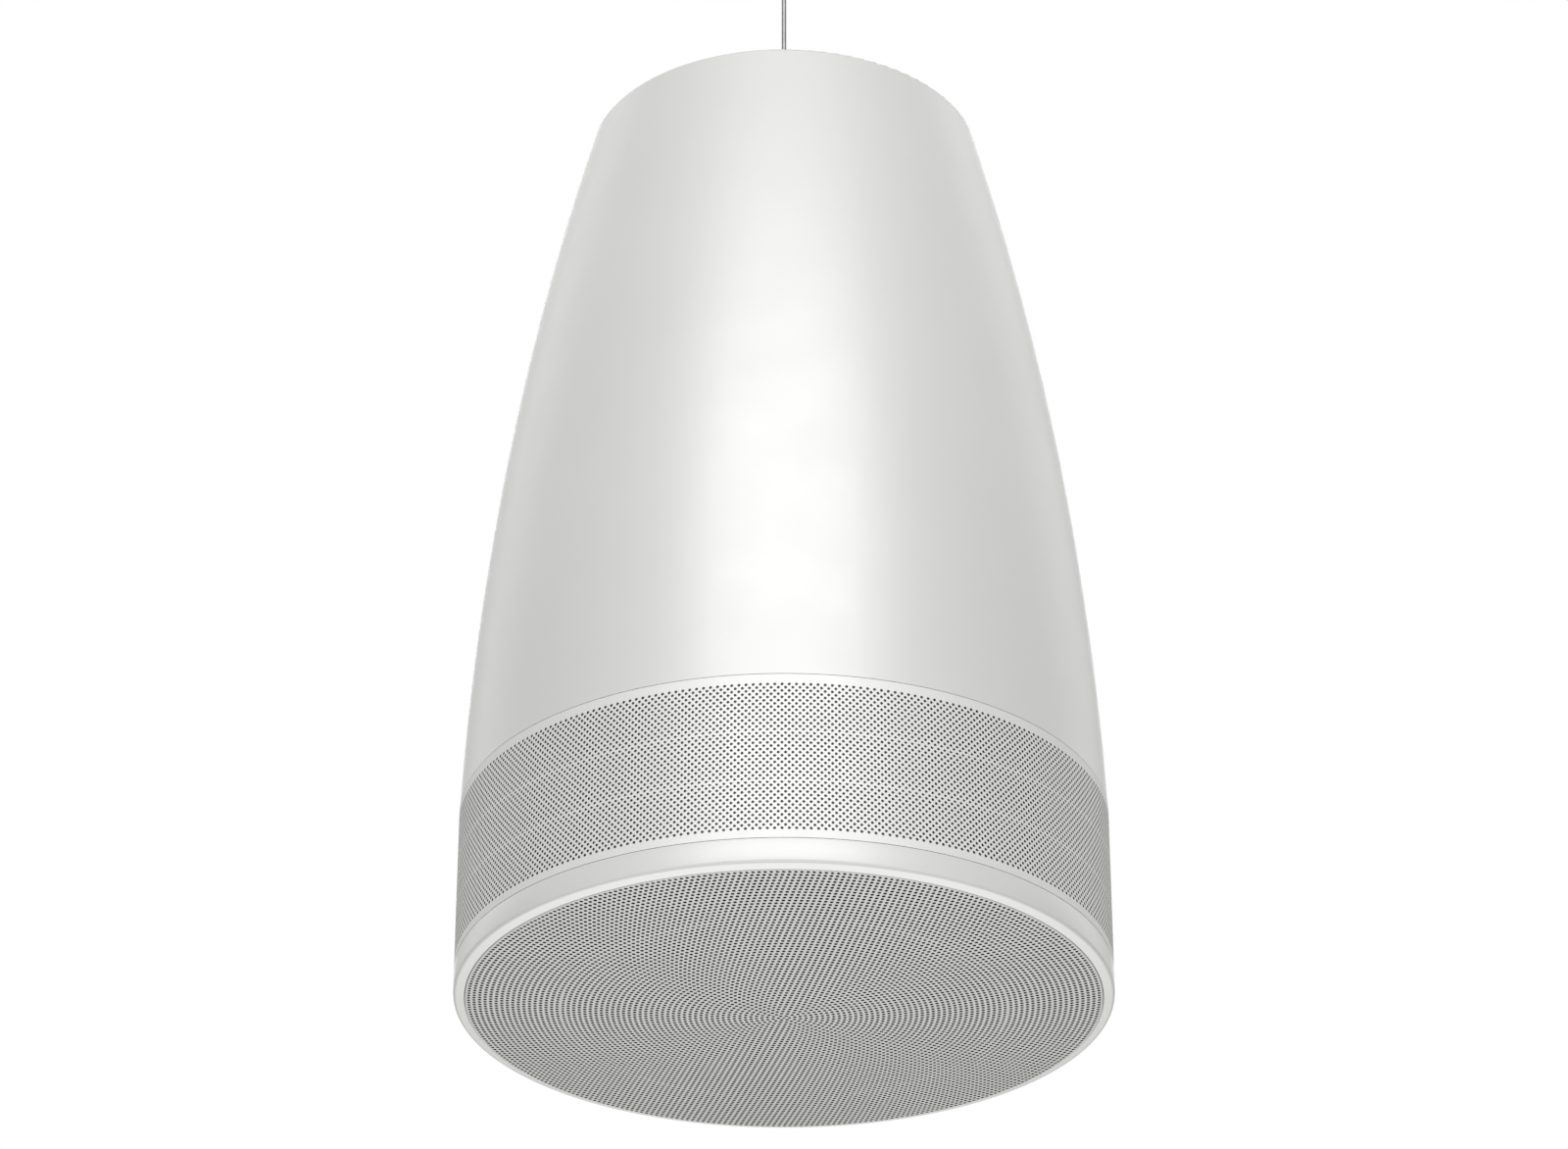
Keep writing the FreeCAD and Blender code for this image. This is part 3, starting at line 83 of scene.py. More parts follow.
class Look:
    """A node material: mottled colour, uneven roughness and a fine relief."""

    def __init__(self, name, colour, rough, metal=0.0, mottle=0.03, mottle_scale=40.0, rough_spread=0.06,
                 **sockets):
        self.material = bpy.data.materials.new(name)
        self.material.use_nodes = True
        self.tree = self.material.node_tree
        self.shader = self.tree.nodes["Principled BSDF"]
        self.shader.inputs["Metallic"].default_value = metal
        for socket, number in sockets.items():
            self.shader.inputs[socket.replace("_", " ")].default_value = number
        self.place = self.node("ShaderNodeTexCoord").outputs["Object"]
        self.heights = []
        low = [c * (1 - mottle) for c in colour]
        high = [min(1.0, c * (1 + mottle)) for c in colour]
        self.colour = self.ramp(self.noise(mottle_scale, 4.0), zip(COLOUR_RANGE, (low, high)))
        self.rough = self.mapped(self.noise(mottle_scale * 3, 3.0), *ROUGH_RANGE,
                                 max(0.0, rough - rough_spread), min(1.0, rough + rough_spread))

    def node(self, kind, **settings):
        made = self.tree.nodes.new(kind)
        for key, setting in settings.items():
            setattr(made, key, setting)
        return made

    def link(self, source, target):
        self.tree.links.new(source, target)

    def noise(self, scale, detail, place=None):
        made = self.node("ShaderNodeTexNoise")
        self.link(place or self.place, made.inputs["Vector"])
        made.inputs["Scale"].default_value = scale
        made.inputs["Detail"].default_value = detail
        return made.outputs["Fac"]

    def ramp(self, source, stops):
        made = self.node("ShaderNodeValToRGB")
        for step, (at, colour) in zip(made.color_ramp.elements, stops):
            step.position = at
            step.color = (*colour, 1)
        self.link(source, made.inputs["Fac"])
        return made.outputs["Color"]

    def mapped(self, source, start, end, low=0.0, high=1.0, **settings):
        """source, with its range from start to end turned into one from low to high."""
        made = self.node("ShaderNodeMapRange", **settings)
        self.link(source, made.inputs["Value"])
        for socket, number in zip(("From Min", "From Max", "To Min", "To Max"), (start, end, low, high)):
            made.inputs[socket].default_value = number
        return made.outputs["Result"]

    def maths(self, operation, first, second=None):
        made = self.node("ShaderNodeMath", operation=operation)
        self.link(first, made.inputs[0])
        if isinstance(second, (int, float)):
            made.inputs[1].default_value = second
        elif second is not None:
            self.link(second, made.inputs[1])
        return made.outputs["Value"]

    def axes(self):
        """The object's own x, y and z at each point."""
        made = self.node("ShaderNodeSeparateXYZ")
        self.link(self.place, made.inputs["Vector"])
        return list(made.outputs)

    def stretched(self, x, y, z):
        made = self.node("ShaderNodeMapping")
        made.inputs["Scale"].default_value = (x, y, z)
        self.link(self.place, made.inputs["Vector"])
        return made.outputs["Vector"]

    def relief(self, height, depth):
        """Adds a height pattern, from 0 to 1, that is depth metres tall."""
        self.heights.append((height, depth))

    def tint(self, mask, colour):
        """Turns the colour into this one where mask is 1."""
        made = self.node("ShaderNodeMix", data_type="RGBA")
        self.link(mask, made.inputs["Factor"])
        self.link(self.colour, made.inputs[MIX_FIRST])
        made.inputs[MIX_SECOND].default_value = (*colour, 1)
        self.colour = made.outputs[MIX_RESULT]

    def done(self):
        self.link(self.colour, self.shader.inputs["Base Color"])
        self.link(self.rough, self.shader.inputs["Roughness"])
        normal = None
        for height, depth in self.heights:
            made = self.node("ShaderNodeBump")
            made.inputs["Strength"].default_value = 1.0
            made.inputs["Distance"].default_value = depth
            self.link(height, made.inputs["Height"])
            if normal is not None:
                self.link(normal, made.inputs["Normal"])
            normal = made.outputs["Normal"]
        if normal is not None:
            self.link(normal, self.shader.inputs["Normal"])
        return self.material


def moulded(name, colour, rough, grain=1400.0, depth=0.00004, **more):
    look = Look(name, colour, rough, **more)
    look.relief(look.noise(grain, 2.0), depth)
    return look.done()


def brushed(name, colour, rough, lay=(30, 30, 900), depth=0.00002, **more):
    look = Look(name, colour, rough, metal=1.0, **more)
    look.relief(look.noise(1.0, 3.0, look.stretched(*lay)), depth)
    return look.done()


def cast(name, colour, rough, grain=500.0, depth=0.0001, **more):
    look = Look(name, colour, rough, **more)
    look.relief(look.noise(grain, 5.0), depth)
    return look.done()


# Heights of the weave's gaps and of the threads' shoulders, from 0 to 1, the share that the threads
# rise above the gaps, and how dark the painted shade makes the gaps beside the threads.
WEAVE_GAP, WEAVE_SHOULDER, WEAVE_RISE, WEAVE_SHADE = 0.1, 0.5, 0.8, 0.35


def woven(name, colour, rough, pitch=0.0008, depth=0.0002, gap=0.45, **more):
    """Plain weave: bands that cross along the object's three axes, with painted shade in the gaps between
    them.
    """
    look = Look(name, colour, rough, **more)
    turns = math.pi / pitch
    waves = [look.maths("SINE", look.maths("MULTIPLY", axis, turns)) for axis in look.axes()]
    cross = look.maths("MULTIPLY", look.maths("MULTIPLY", waves[0], waves[1]), waves[2])
    threads = look.maths("MULTIPLY", look.maths("ABSOLUTE", cross), WEAVE_RISE)
    level = look.maths("ADD", threads, WEAVE_GAP)
    look.relief(level, depth)
    # Painted shade: the lower the weave, the darker its colour.
    look.tint(look.mapped(level, WEAVE_GAP, WEAVE_SHOULDER, gap, 0.0), [c * WEAVE_SHADE for c in colour])
    return look.done()


# The paint of the shell and of the lower bezel.
SHELL_COLOUR = (0.50, 0.50, 0.49)
SHELL_ROUGH = 0.5
SHELL_FINISH = {"mottle": 0.012, "mottle_scale": 12, "rough_spread": 0.04, "Specular_IOR_Level": 1.0,
                "Coat_Weight": 1.0, "Coat_Roughness": 0.35}
SHELL_GRAIN = 900
SHELL_RELIEF = 0.000025

MATERIALS = {
    "white_shell": moulded("white_shell", SHELL_COLOUR, SHELL_ROUGH, grain=SHELL_GRAIN, depth=SHELL_RELIEF,
                           **SHELL_FINISH),
    "white_grille": moulded("white_grille", (0.62, 0.62, 0.61), 0.5, grain=2200, depth=0.00003, metal=0.25,
                            mottle=0.015, mottle_scale=20, rough_spread=0.04, Specular_IOR_Level=0.1),
    "grey_cloth": woven("grey_cloth", (0.70, 0.70, 0.69), 0.95, mottle=0.06, mottle_scale=90),
    "black_moulding": moulded("black_moulding", (0.022, 0.022, 0.024), 0.5, mottle=0.15),
    "gasket_foam": cast("gasket_foam", (0.03, 0.03, 0.03), 0.9, grain=1800, depth=0.0002, mottle=0.2),
    "plated_screw": brushed("plated_screw", (0.62, 0.62, 0.64), 0.28, mottle=0.05),
    "black_basket": cast("black_basket", (0.02, 0.02, 0.022), 0.42, grain=900, depth=0.00005, mottle=0.15),
    "motor_steel": brushed("motor_steel", (0.45, 0.45, 0.46), 0.35, mottle=0.06),
    "ferrite": cast("ferrite", (0.035, 0.036, 0.04), 0.6, grain=400, depth=0.00012, mottle=0.2),
    "paper_cone": cast("paper_cone", (0.03, 0.03, 0.032), 0.85, grain=300, depth=0.0003, mottle=0.3),
    "black_rubber": moulded("black_rubber", (0.018, 0.018, 0.018), 0.55, grain=700, depth=0.00005,
                            mottle=0.2),
    "spider_cloth": woven("spider_cloth", (0.55, 0.40, 0.15), 0.8, pitch=0.0010, mottle=0.1),
    "coil_paper": cast("coil_paper", (0.35, 0.19, 0.07), 0.8, grain=900, depth=0.00004, mottle=0.12),
    "copper_wire": brushed("copper_wire", (0.60, 0.22, 0.08), 0.3, lay=(60, 60, 2500), depth=0.0002,
                           mottle=0.08),
    "tweeter_steel": brushed("tweeter_steel", (0.42, 0.42, 0.43), 0.35, mottle=0.06),
    "silk_dome": woven("silk_dome", (0.03, 0.03, 0.033), 0.6, pitch=0.0005, depth=0.00008, mottle=0.1),
    "tweeter_trim": moulded("tweeter_trim", (0.025, 0.025, 0.025), 0.4, mottle=0.1),
    "wadding": cast("wadding", (0.70, 0.70, 0.67), 0.98, grain=180, depth=0.002, mottle=0.08,
                    mottle_scale=120),
    "white_panel": moulded("white_panel", (0.76, 0.76, 0.75), 0.45, grain=1500, depth=0.00004, mottle=0.02),
    "zinc_plate": brushed("zinc_plate", (0.55, 0.56, 0.58), 0.38, lay=(25, 600, 25), mottle=0.08,
                          mottle_scale=120),
    "stainless": brushed("stainless", (0.52, 0.52, 0.53), 0.3, mottle=0.04),
    "wire_rope": brushed("wire_rope", (0.26, 0.26, 0.27), 0.5, mottle=0.08, mottle_scale=300),
    "nickel": brushed("nickel", (0.60, 0.58, 0.54), 0.22, mottle=0.03),
    "dial_print": moulded("dial_print", (0.62, 0.62, 0.62), 0.5, mottle=0.03),
    "knob_black": moulded("knob_black", (0.02, 0.02, 0.02), 0.45, mottle=0.15),
    "shaft_steel": brushed("shaft_steel", (0.5, 0.5, 0.5), 0.3, mottle=0.04),
    "core_steel": brushed("core_steel", (0.25, 0.25, 0.26), 0.5, lay=(30, 2200, 30), depth=0.0003,
                          mottle=0.1),
    "green_board": moulded("green_board", (0.02, 0.11, 0.05), 0.4, mottle=0.12),
    "capacitor_sleeve": moulded("capacitor_sleeve", (0.03, 0.05, 0.12), 0.35, mottle=0.1),
}
# Painted shade: the cloth behind the bottom grille, grey like the one behind the band, is painted near black
# for the shade seen through the holes.
PAINTED_SHADE_CLOTH = woven("painted_shade_cloth", (0.03, 0.03, 0.03), 0.95, mottle=0.06, mottle_scale=90)
# Painted shade: a near-black paint for the walls of the grilles' holes and the grilles' inner skins, in place
# of the shade inside the holes.
PAINTED_HOLE_SHADE = moulded("painted_hole_shade", (0.04, 0.04, 0.04), 0.8, mottle=0.05, Specular_IOR_Level=0.2)

SLOT_OF = {part["node"]: part["material_slot"] for part in frame["record"]["subparts"]}


def paint(obj, material):
    obj.data.materials.clear()
    obj.data.materials.append(material)


for node, obj in frame["nodes"].items():
    paint(obj, MATERIALS[SLOT_OF[node]])
# Painted shade: the bottom cloth is painted near black.
paint(frame["nodes"]["bottom_cloth"], PAINTED_SHADE_CLOTH)


# ------- meshes
def meshed(name, points, faces):
    mesh = bpy.data.meshes.new(name)
    mesh.from_pydata(points, [], faces)
    return placed(name, mesh)


# Corners of a mesh that meet at more than this angle stay sharp.
SHARP_ANGLE = math.radians(35)


def finished(name, points, faces, slot, node, painted_shade_faces=()):
    """A piece with smooth shading that rides on the speaker in place of a CAD node. painted_shade_faces lists
    the faces painted near black as painted shade, such as the walls of small holes."""
    obj = meshed(name, points, faces)
    mesh = obj.data
    mesh.update()
    mesh.shade_smooth()
    mesh.set_sharp_from_angle(angle=SHARP_ANGLE)
    paint(obj, MATERIALS[slot])
    if painted_shade_faces:
        # Painted shade on the listed faces.
        mesh.materials.append(PAINTED_HOLE_SHADE)
        for face in painted_shade_faces:
            mesh.polygons[face].material_index = 1
    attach(obj, "speaker")
    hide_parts(node)
    return obj


def around(radii, angles, heights, centre=(0.0, 0.0)):
    """Points about an upright line at centre."""
    x, y = centre[0] + radii * np.cos(angles), centre[1] + radii * np.sin(angles)
    return np.stack(np.broadcast_arrays(x, y, heights), 1)


def quads(near, far):
    """Faces between two closed rings with as many vertices."""
    return list(zip(near, near[1:] + near[:1], far[1:] + far[:1], far))


def lathe(name, profile, count, slot, node, centre=(0.0, 0.0)):
    """A closed ring or sleeve: the (radius, height) points of a closed profile, turned about an
    upright line at centre. A radius may be a function of the angle."""
    angles = 2 * math.pi * np.arange(count) / count
    points = [around(radius(angles) if callable(radius) else radius, angles, height, centre)
              for radius, height in profile]
    rings = [list(range(k * count, (k + 1) * count)) for k in range(len(profile))]
    faces = []
    for near, far in zip(rings, rings[1:] + rings[:1]):
        faces += quads(near, far)
    return finished(name, np.concatenate(points), faces, slot, node)


def quarter(radius, height, wide, tall, steps):
    """Points of a quarter of an ellipse, from its lowest point to its outermost one."""
    turns = [math.pi / 2 * k / steps for k in range(steps + 1)]
    return [(radius + wide * math.sin(turn), height - tall * math.cos(turn)) for turn in turns]


def part_way(start, end, share):
    """The point at this share of the way from start to end."""
    return tuple(a + (b - a) * share for a, b in zip(start, end))


# Corners of a six-sided hole along its row and across it, as shares of its half width. The first
# four are its upper side, and the last three, with the first, its lower side.
SIDE = math.sin(math.radians(60))
HOLE_CORNERS = ((-1, 0), (-0.5, SIDE), (0.5, SIDE), (1, 0), (0.5, -SIDE), (-0.5, -SIDE))


class Sheet:
    """A closed perforated sheet. surface(turn, way, side) gives a point of its outer (0) or inner (1)
    skin, where turn is the angle round the axis and way runs along the profile."""

    def __init__(self, surface):
        self.surface = surface
        self.turns = []
        self.ways = []
        self.faces = []
        self.walls = []

    def vertices(self, turns, ways):
        start = len(self.turns)
        self.turns += list(turns)
        self.ways += list(ways)
        return list(range(start, len(self.turns)))

    def circle(self, way, count):
        return self.vertices([2 * math.pi * k / count for k in range(count)], [way] * count)

    def row(self, way, radius, count, phase, half_width):
        """One row of holes. Returns the chains of vertices along its lower and upper side."""
        lower, upper = [], []
        wide = half_width / radius
        for k in range(count):
            middle = phase + 2 * math.pi * k / count
            corners = self.vertices([middle + wide * along for along, _ in HOLE_CORNERS],
                                    [way + half_width * across for _, across in HOLE_CORNERS])
            upper += corners[:4]
            lower += [corners[0], corners[5], corners[4], corners[3]]
            self.walls += zip(corners, corners[1:] + corners[:1])
        return lower, upper

    def fill(self, low, high):
        """Triangles between two closed chains, the one with the smaller way first."""
        full = 2 * math.pi
        first = self.turns[low[0]]
        apart = [abs((self.turns[vertex] - first + math.pi) % full - math.pi) for vertex in high]
        start = apart.index(min(apart))
        high = high[start:] + high[:start]
        at_low = [self.turns[v] for v in low] + [first + full]
        shift = round((first - self.turns[high[0]]) / full) * full
        at_high = [self.turns[v] + shift for v in high]
        for j in range(1, len(at_high)):
            while at_high[j] < at_high[j - 1]:
                at_high[j] += full
        at_high.append(at_high[0] + full)
        low, high = low + low[:1], high + high[:1]
        i = j = 0
        while i < len(low) - 1 or j < len(high) - 1:
            if j == len(high) - 1 or (i < len(low) - 1 and at_low[i + 1] <= at_high[j + 1]):
                self.faces.append((low[i], low[i + 1], high[j]))
                i += 1
            else:
                self.faces.append((low[i], high[j + 1], high[j]))
                j += 1

    def painted_shade_face_range(self):
        """The faces of mesh() on the inner skin and on the walls of the holes, which get the painted shade.
        """
        return range(len(self.faces), 2 * len(self.faces) + len(self.walls))

    def mesh(self, low_edge, high_edge, high_profile=()):
        """Points and faces of the closed sheet. high_profile lists (radius, height) points that the
        edge runs through from the outer skin to the inner one."""
        count = len(self.turns)
        turns, ways = np.array(self.turns), np.array(self.ways)
        points = [self.surface(turns, ways, 0), self.surface(turns, ways, 1)]
        inner_skin = [(c + count, b + count, a + count) for a, b, c in self.faces]
        walls = self.walls + list(zip(low_edge, low_edge[1:] + low_edge[:1]))
        faces = self.faces + inner_skin + [(b, a, a + count, b + count) for a, b in walls]
        rings = [high_edge]
        for radius, height in high_profile:
            start = sum(len(some) for some in points)
            points.append(around(radius, turns[high_edge], height))
            rings.append(list(range(start, start + len(high_edge))))
        rings.append([v + count for v in high_edge])
        for near, far in zip(rings, rings[1:]):
            faces += quads(near, far)
        return np.concatenate(points), faces


# ------- lower bezel
BODY_RADIUS = 160.0 * MM
BEZEL_WALL_IN = 157.0 * MM
BEZEL_LIP_IN = 154.55 * MM
BEZEL_TOP = RIM_Z + 13.7 * MM
BEZEL_LIP_TOP = RIM_Z + 7.0 * MM
BEZEL_FACETS = 360
BEVEL_DROP = 1.6 * MM
CORNER_WIDE = 0.8 * MM
CORNER_TALL = 1.1 * MM
CORNER_STEPS = 6
EDGE_ROUND = 0.4 * MM
# How far from the bevel's ends its shading settles, as a share of its width.
BEVEL_SETTLE = 0.06
# Painted highlight: the bevel's lighter colour stands in for the highlight that it catches.
BEVEL_HIGHLIGHT_COLOUR = (0.74, 0.74, 0.73)
# The height where the bevel's painted highlight is full, as a share of the bevel's own.
BEVEL_HIGHLIGHT_FADE = 0.8


def bezel_paint_and_highlight():
    """The shell's paint, with a painted highlight: a lighter colour on the bevel."""
    look = Look("bezel_paint_and_highlight", SHELL_COLOUR, SHELL_ROUGH, **SHELL_FINISH)
    # Painted highlight: the colour turns lighter towards the bevel's bottom.
    edge = look.mapped(look.axes()[2], RIM_Z + BEVEL_DROP, RIM_Z + BEVEL_DROP * BEVEL_HIGHLIGHT_FADE,
                       interpolation_type="SMOOTHSTEP")
    look.tint(edge, BEVEL_HIGHLIGHT_COLOUR)
    look.relief(look.noise(SHELL_GRAIN, 2.0), SHELL_RELIEF)
    return look.done()


# The bevel is a cone from the lip to the crease under the wall's rounded corner.
bevel_start = (BEZEL_LIP_IN + EDGE_ROUND, RIM_Z)
crease = (BODY_RADIUS - CORNER_WIDE, RIM_Z + BEVEL_DROP)
wall_foot = RIM_Z + BEVEL_DROP + CORNER_TALL
bezel_profile = [
    (BEZEL_LIP_IN, BEZEL_LIP_TOP),
    (BEZEL_LIP_IN, RIM_Z + EDGE_ROUND),
    bevel_start,
    part_way(bevel_start, crease, BEVEL_SETTLE),
    part_way(bevel_start, crease, 1 - BEVEL_SETTLE),
    *quarter(crease[0], wall_foot, CORNER_WIDE, CORNER_TALL, CORNER_STEPS),
    (BODY_RADIUS, wall_foot + EDGE_ROUND),
    (BODY_RADIUS, BEZEL_TOP - EDGE_ROUND),
    (BODY_RADIUS - EDGE_ROUND / 3, BEZEL_TOP - EDGE_ROUND / 3),
    (BODY_RADIUS - EDGE_ROUND, BEZEL_TOP),
    (BEZEL_WALL_IN, BEZEL_TOP),
    (BEZEL_WALL_IN, BEZEL_LIP_TOP),
]
bezel = lathe("round_bezel", bezel_profile, BEZEL_FACETS, "white_shell", "lower_bezel")
paint(bezel, bezel_paint_and_highlight())

# ------- cable gland
GLAND_FLATS = 19.0 * MM
GLAND_BASE = 5.0 * MM
GLAND_CAP = 8.5 * MM
GLAND_DOME = 6.2 * MM
GLAND_THREAD = 7.5 * MM
GLAND_BORE = 4.0 * MM
GLAND_FACETS = 144
CAP_ROUND = 2.0 * MM
CAP_SHOULDER = 1.2 * MM
RIBS = 12
RIB = 0.4 * MM


def hexagon(angles):
    sixth = math.pi / 3
    return GLAND_FLATS / 2 / np.cos((angles + sixth / 2) % sixth - sixth / 2)


def ribbed(angles):
    return GLAND_CAP - RIB * (0.5 - 0.5 * np.cos(RIBS * angles))


gland_low, gland_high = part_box("cable_gland")
gland_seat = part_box("terminal_cover")[1].z
cap_low = gland_seat + GLAND_BASE
cap_high = cap_low + GLAND_DOME
gland_profile = [
    (GLAND_BORE, gland_low.z),
    (GLAND_THREAD, gland_low.z),
    (GLAND_THREAD, gland_seat),
    (hexagon, gland_seat),
    (hexagon, cap_low - EDGE_ROUND),
    (GLAND_FLATS / 2 - EDGE_ROUND, cap_low),
    (GLAND_CAP - RIB, cap_low),
    (ribbed, cap_low + EDGE_ROUND),
    (ribbed, cap_high - CAP_ROUND),
    (GLAND_CAP - CAP_SHOULDER, cap_high - EDGE_ROUND),
    (GLAND_CAP - CAP_ROUND, cap_high),
    (GLAND_BORE, cap_high),
]
lathe("ribbed_gland", gland_profile, GLAND_FACETS, "black_moulding", "cable_gland",
      (gland_low + gland_high) / 2)

# ------- marks of the tap selector
TAPS = 6
TAP_STEP = math.radians(30)
MARK_WIDE = 0.7 * MM
MARK_TALL = 0.12 * MM
MARK_GAP = 0.6 * MM
POINTER_START = 2.0 * MM
POINTER_GAP = 1.5 * MM
# A bar's corners, lower ones first, are numbered round it.
BAR_FACES = ((3, 2, 1, 0), (4, 5, 6, 7), (0, 1, 5, 4), (1, 2, 6, 5), (2, 3, 7, 6), (3, 0, 4, 7))


def bars(name, spans, seat, slot, body, centre):
    """Flat bars on one level. spans lists (angle, inner radius, outer radius) about the centre."""
    points, faces = [], []
    for angle, inner, outer in spans:
        along = np.array([math.cos(angle), math.sin(angle)])
        across = np.array([-along[1], along[0]]) * MARK_WIDE / 2
        faces += [tuple(len(points) + k for k in face) for face in BAR_FACES]
        for height in (seat, seat + MARK_TALL):
            for radius, side in ((inner, -1), (outer, -1), (outer, 1), (inner, 1)):
                points.append((*(centre + along * radius + across * side), height))
    obj = meshed(name, points, faces)
    paint(obj, MATERIALS[slot])
    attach(obj, body)


dial_low, dial_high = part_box("selector_dial")
knob_low, knob_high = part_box("selector_knob")
knob_centre = np.array((dial_low + dial_high) / 2)[:2]
dial_radius = (dial_high.x - dial_low.x) / 2
knob_radius = (knob_high.y - knob_low.y) / 2
bars("tap_marks", [(-TAP_STEP * k, knob_radius + MARK_GAP, dial_radius - MARK_GAP) for k in range(TAPS)],
     dial_high.z, "knob_black", "speaker", knob_centre)
bars("knob_pointer", [(0.0, POINTER_START, knob_radius - POINTER_GAP)],
     knob_high.z, "dial_print", "selector", knob_centre)

# ------- bottom grille
DOME_EDGE = 154.2 * MM
DOME_SAG = 6.5 * MM
DOME_SHEET = 0.35 * MM
DOME_LIP_TOP = RIM_Z + 7.0 * MM
RING_STEP = 2.6754 * MM
RINGS = 57
# Each ring has this many holes more than the one inside it.
RING_HOLES = 6
DOME_HOLE = 0.98 * MM
# The rings' first holes: a common turn, and a share of each ring's own pitch.
DOME_TURN = math.radians(-17.6)
RING_SHARE = 0.187
# Last ring of the middle piece.
SPLIT_RING = 40


def dome(turns, ways, side):
    heights = RIM_Z - DOME_SAG * (1 - (ways / DOME_EDGE) ** 2) + side * DOME_SHEET
    inset = np.where(ways > DOME_EDGE - DOME_SHEET / 2, side * DOME_SHEET, 0)
    return around(ways - inset, turns, heights)


def dome_piece(name, first, last):
    sheet = Sheet(dome)
    low_edge = sheet.circle(DOME_HOLE if first == 1 else (first - 0.5) * RING_STEP, RING_HOLES * first)
    chain = low_edge
    for ring in range(first, last + 1):
        radius = ring * RING_STEP
        phase = DOME_TURN + RING_SHARE * 2 * math.pi / (RING_HOLES * ring)
        lower, upper = sheet.row(radius, radius, RING_HOLES * ring, phase, DOME_HOLE)
        sheet.fill(chain, lower)
        chain = upper
    if last == RINGS:
        high_edge = sheet.circle(DOME_EDGE, RING_HOLES * RINGS)
        profile = [(DOME_EDGE, DOME_LIP_TOP), (DOME_EDGE - DOME_SHEET, DOME_LIP_TOP)]
    else:
        high_edge = sheet.circle((last + 0.5) * RING_STEP, RING_HOLES * (last + 1))
        profile = []
    sheet.fill(chain, high_edge)
    points, faces = sheet.mesh(low_edge, high_edge, profile)
    # Painted shade: the inner skin, the hole walls and the inner face of the lip are painted near black.
    inner_lip = range(len(faces) - len(high_edge), len(faces)) if profile else ()
    finished(name, points, faces, "white_grille", "bottom_grille", [*sheet.painted_shade_face_range(), *inner_lip])


dome_piece("dome_grille_middle", 1, SPLIT_RING)
dome_piece("dome_grille_outer", SPLIT_RING + 1, RINGS)

# ------- side grille
BAND_LOW = RIM_Z + 13.8 * MM
BAND_HIGH = RIM_Z + 97.8 * MM
BAND_SHEET = 0.6 * MM
FIRST_ROW = RIM_Z + 18.5 * MM
ROW_STEP = 1.6795 * MM
ROWS = 45
COLUMNS = 300
BAND_HOLE = 0.82 * MM
BAND_PIECES = 3
# Where the first hole of an even and of an odd row stands.
ROW_TURNS = (math.radians(0.877), math.radians(0.277))


def band(turns, ways, side):
    return around(BODY_RADIUS - side * BAND_SHEET, turns, ways)


def band_piece(number):
    rows = range(number * ROWS // BAND_PIECES, (number + 1) * ROWS // BAND_PIECES)
    low = BAND_LOW if number == 0 else FIRST_ROW + (rows[0] - 0.5) * ROW_STEP
    high = BAND_HIGH if number == BAND_PIECES - 1 else FIRST_ROW + (rows[-1] + 0.5) * ROW_STEP
    sheet = Sheet(band)
    low_edge = sheet.circle(low, 2 * COLUMNS)
    chain = low_edge
    for row in rows:
        lower, upper = sheet.row(FIRST_ROW + row * ROW_STEP, BODY_RADIUS, COLUMNS, ROW_TURNS[row % 2],
                                 BAND_HOLE)
        sheet.fill(chain, lower)
        chain = upper
    high_edge = sheet.circle(high, 2 * COLUMNS)
    sheet.fill(chain, high_edge)
    points, faces = sheet.mesh(low_edge, high_edge)
    # Painted shade: the inner skin and the hole walls are painted near black.
    finished(f"band_grille_{number + 1}", points, faces, "white_grille", "side_grille", sheet.painted_shade_face_range())


for number in range(BAND_PIECES):
    band_piece(number)

# ------- suspension cable
CABLE_RADIUS = 1.25 * MM
# From the cable socket on the top panel to the coupler under the ceiling anchor.
CABLE_ROUTE = [(0, 0, -0.147), (0, 0, -0.126), (0, 0, -0.052), (0, 0, -0.031)]

curve = bpy.data.curves.new("wire_rope", "CURVE")
curve.dimensions = "3D"
curve.bevel_depth = CABLE_RADIUS
curve.bevel_resolution = 6
curve.use_fill_caps = True
spline = curve.splines.new("NURBS")
spline.points.add(len(CABLE_ROUTE) - 1)
for point, place in zip(spline.points, CABLE_ROUTE):
    point.co = (*place, 1)
spline.order_u = 3
spline.use_endpoint_u = True
cable = placed("wire_rope", curve)
paint(cable, MATERIALS["wire_rope"])
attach(cable, "speaker")
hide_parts("suspension_cable")

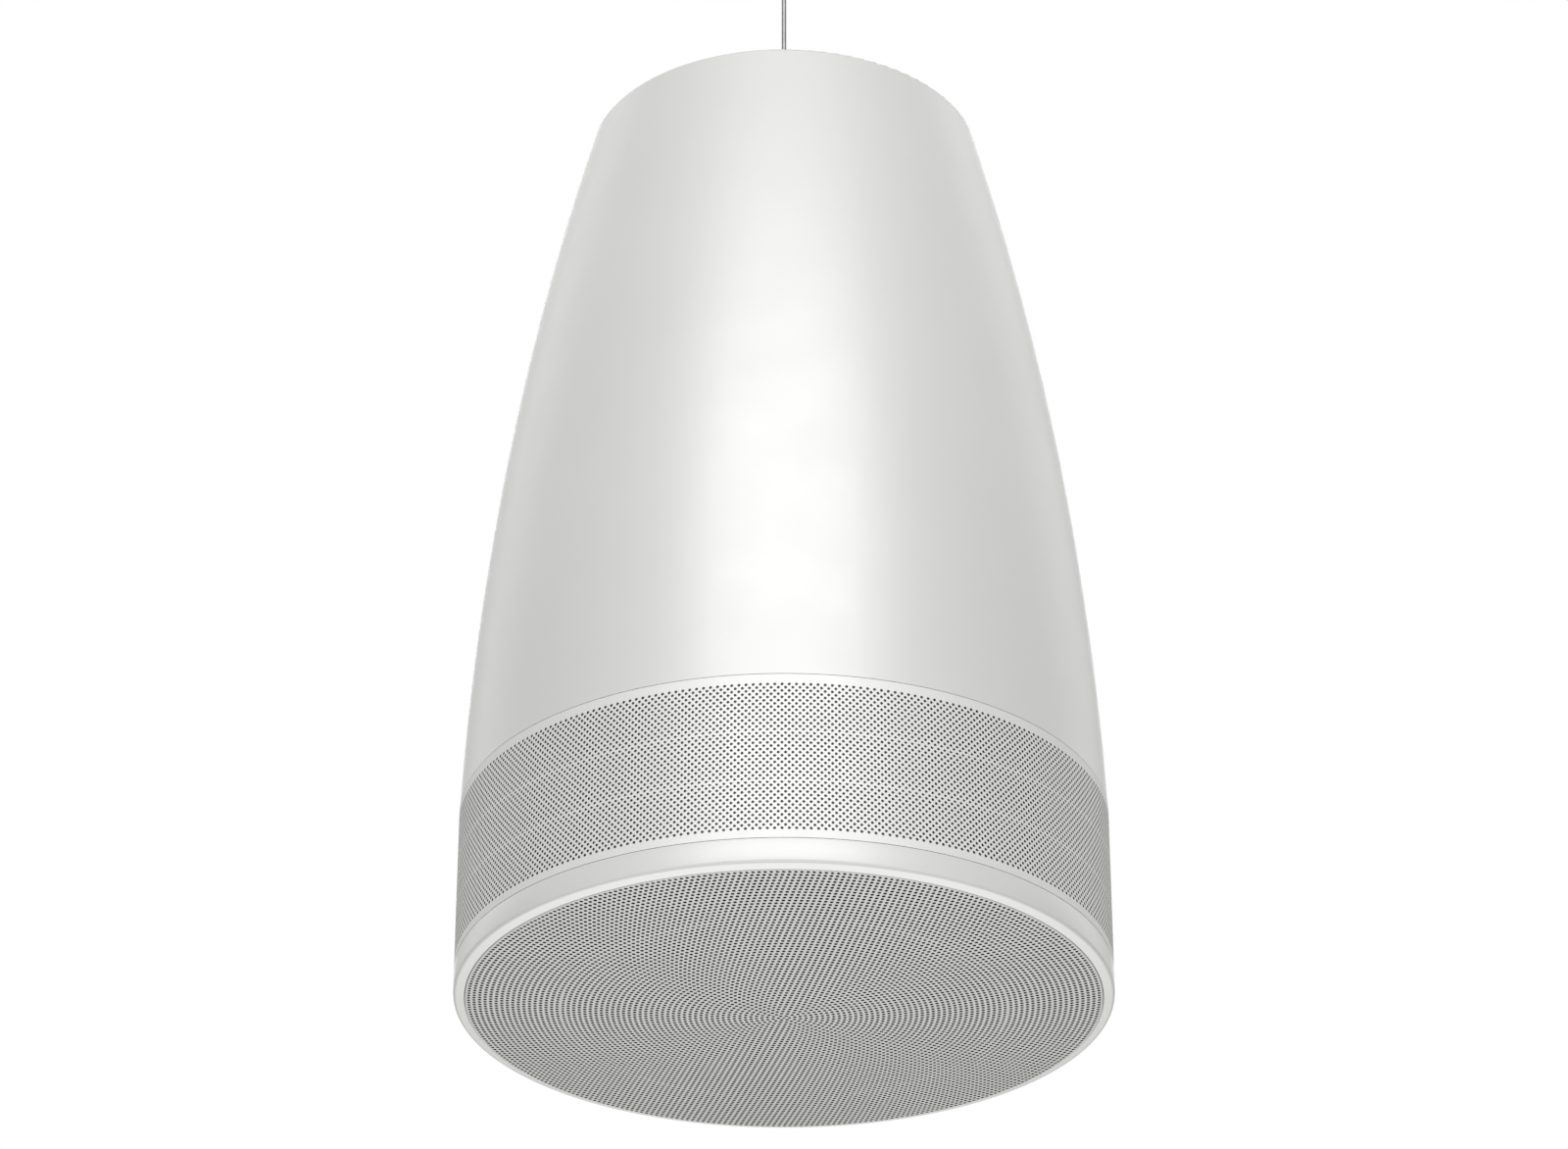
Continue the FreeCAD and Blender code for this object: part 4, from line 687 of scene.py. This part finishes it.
# ------- floor and light
FLOOR_Z = -2.5
FLOOR_HALF = 25.0
FLOOR_CORNERS = ((-1, -1), (1, -1), (1, 1), (-1, 1))

floor = meshed("floor", [(x * FLOOR_HALF, y * FLOOR_HALF, FLOOR_Z) for x, y in FLOOR_CORNERS],
               [(0, 1, 2, 3)])
paint(floor, moulded("floor_paint", (0.80, 0.80, 0.79), 0.7, mottle=0.003, mottle_scale=2, rough_spread=0.01))

# The room's light on the object, and the brightness of the bare room behind it.
ROOM_LIGHT = 0.62
BACKDROP_LIGHT = 1.0

world = bpy.data.worlds.new("studio")
bpy.context.scene.world = world
world.use_nodes = True
nodes, links = world.node_tree.nodes, world.node_tree.links
room = nodes["Background"]
backdrop = nodes.new("ShaderNodeBackground")
for background, strength in ((room, ROOM_LIGHT), (backdrop, BACKDROP_LIGHT)):
    background.inputs["Color"].default_value = (1, 1, 1, 1)
    background.inputs["Strength"].default_value = strength
path = nodes.new("ShaderNodeLightPath")
either = nodes.new("ShaderNodeMixShader")
links.new(path.outputs["Is Camera Ray"], either.inputs[0])
links.new(room.outputs[0], either.inputs[1])
links.new(backdrop.outputs[0], either.inputs[2])
links.new(either.outputs[0], nodes["World Output"].inputs["Surface"])

LIGHTS_AIM = Vector((0, 0, -0.42))
# Each soft box: its name, place, width, height and power.
SOFTBOXES = [
    ("front", (0.0, -2.5, 1.3), 3.0, 1.7, 82),
    ("low", (0.0, -0.36, -1.15), 0.5, 0.5, 1.5),
    ("back", (0.0, 2.9, 1.6), 1.8, 1.8, 34),
    ("rim_left", (-2.2, 1.9, 1.6), 1.6, 2.6, 8),
    ("rim_right", (2.2, 1.9, 1.6), 1.6, 2.6, 8),
]

for name, place, width, height, power in SOFTBOXES:
    light = bpy.data.lights.new(name, "AREA")
    light.shape = "RECTANGLE"
    light.size, light.size_y = width, height
    light.energy = power
    softbox = placed(name, light)
    softbox.location = place
    softbox.rotation_euler = (LIGHTS_AIM - Vector(place)).to_track_quat("-Z", "Y").to_euler()
    softbox.visible_camera = False
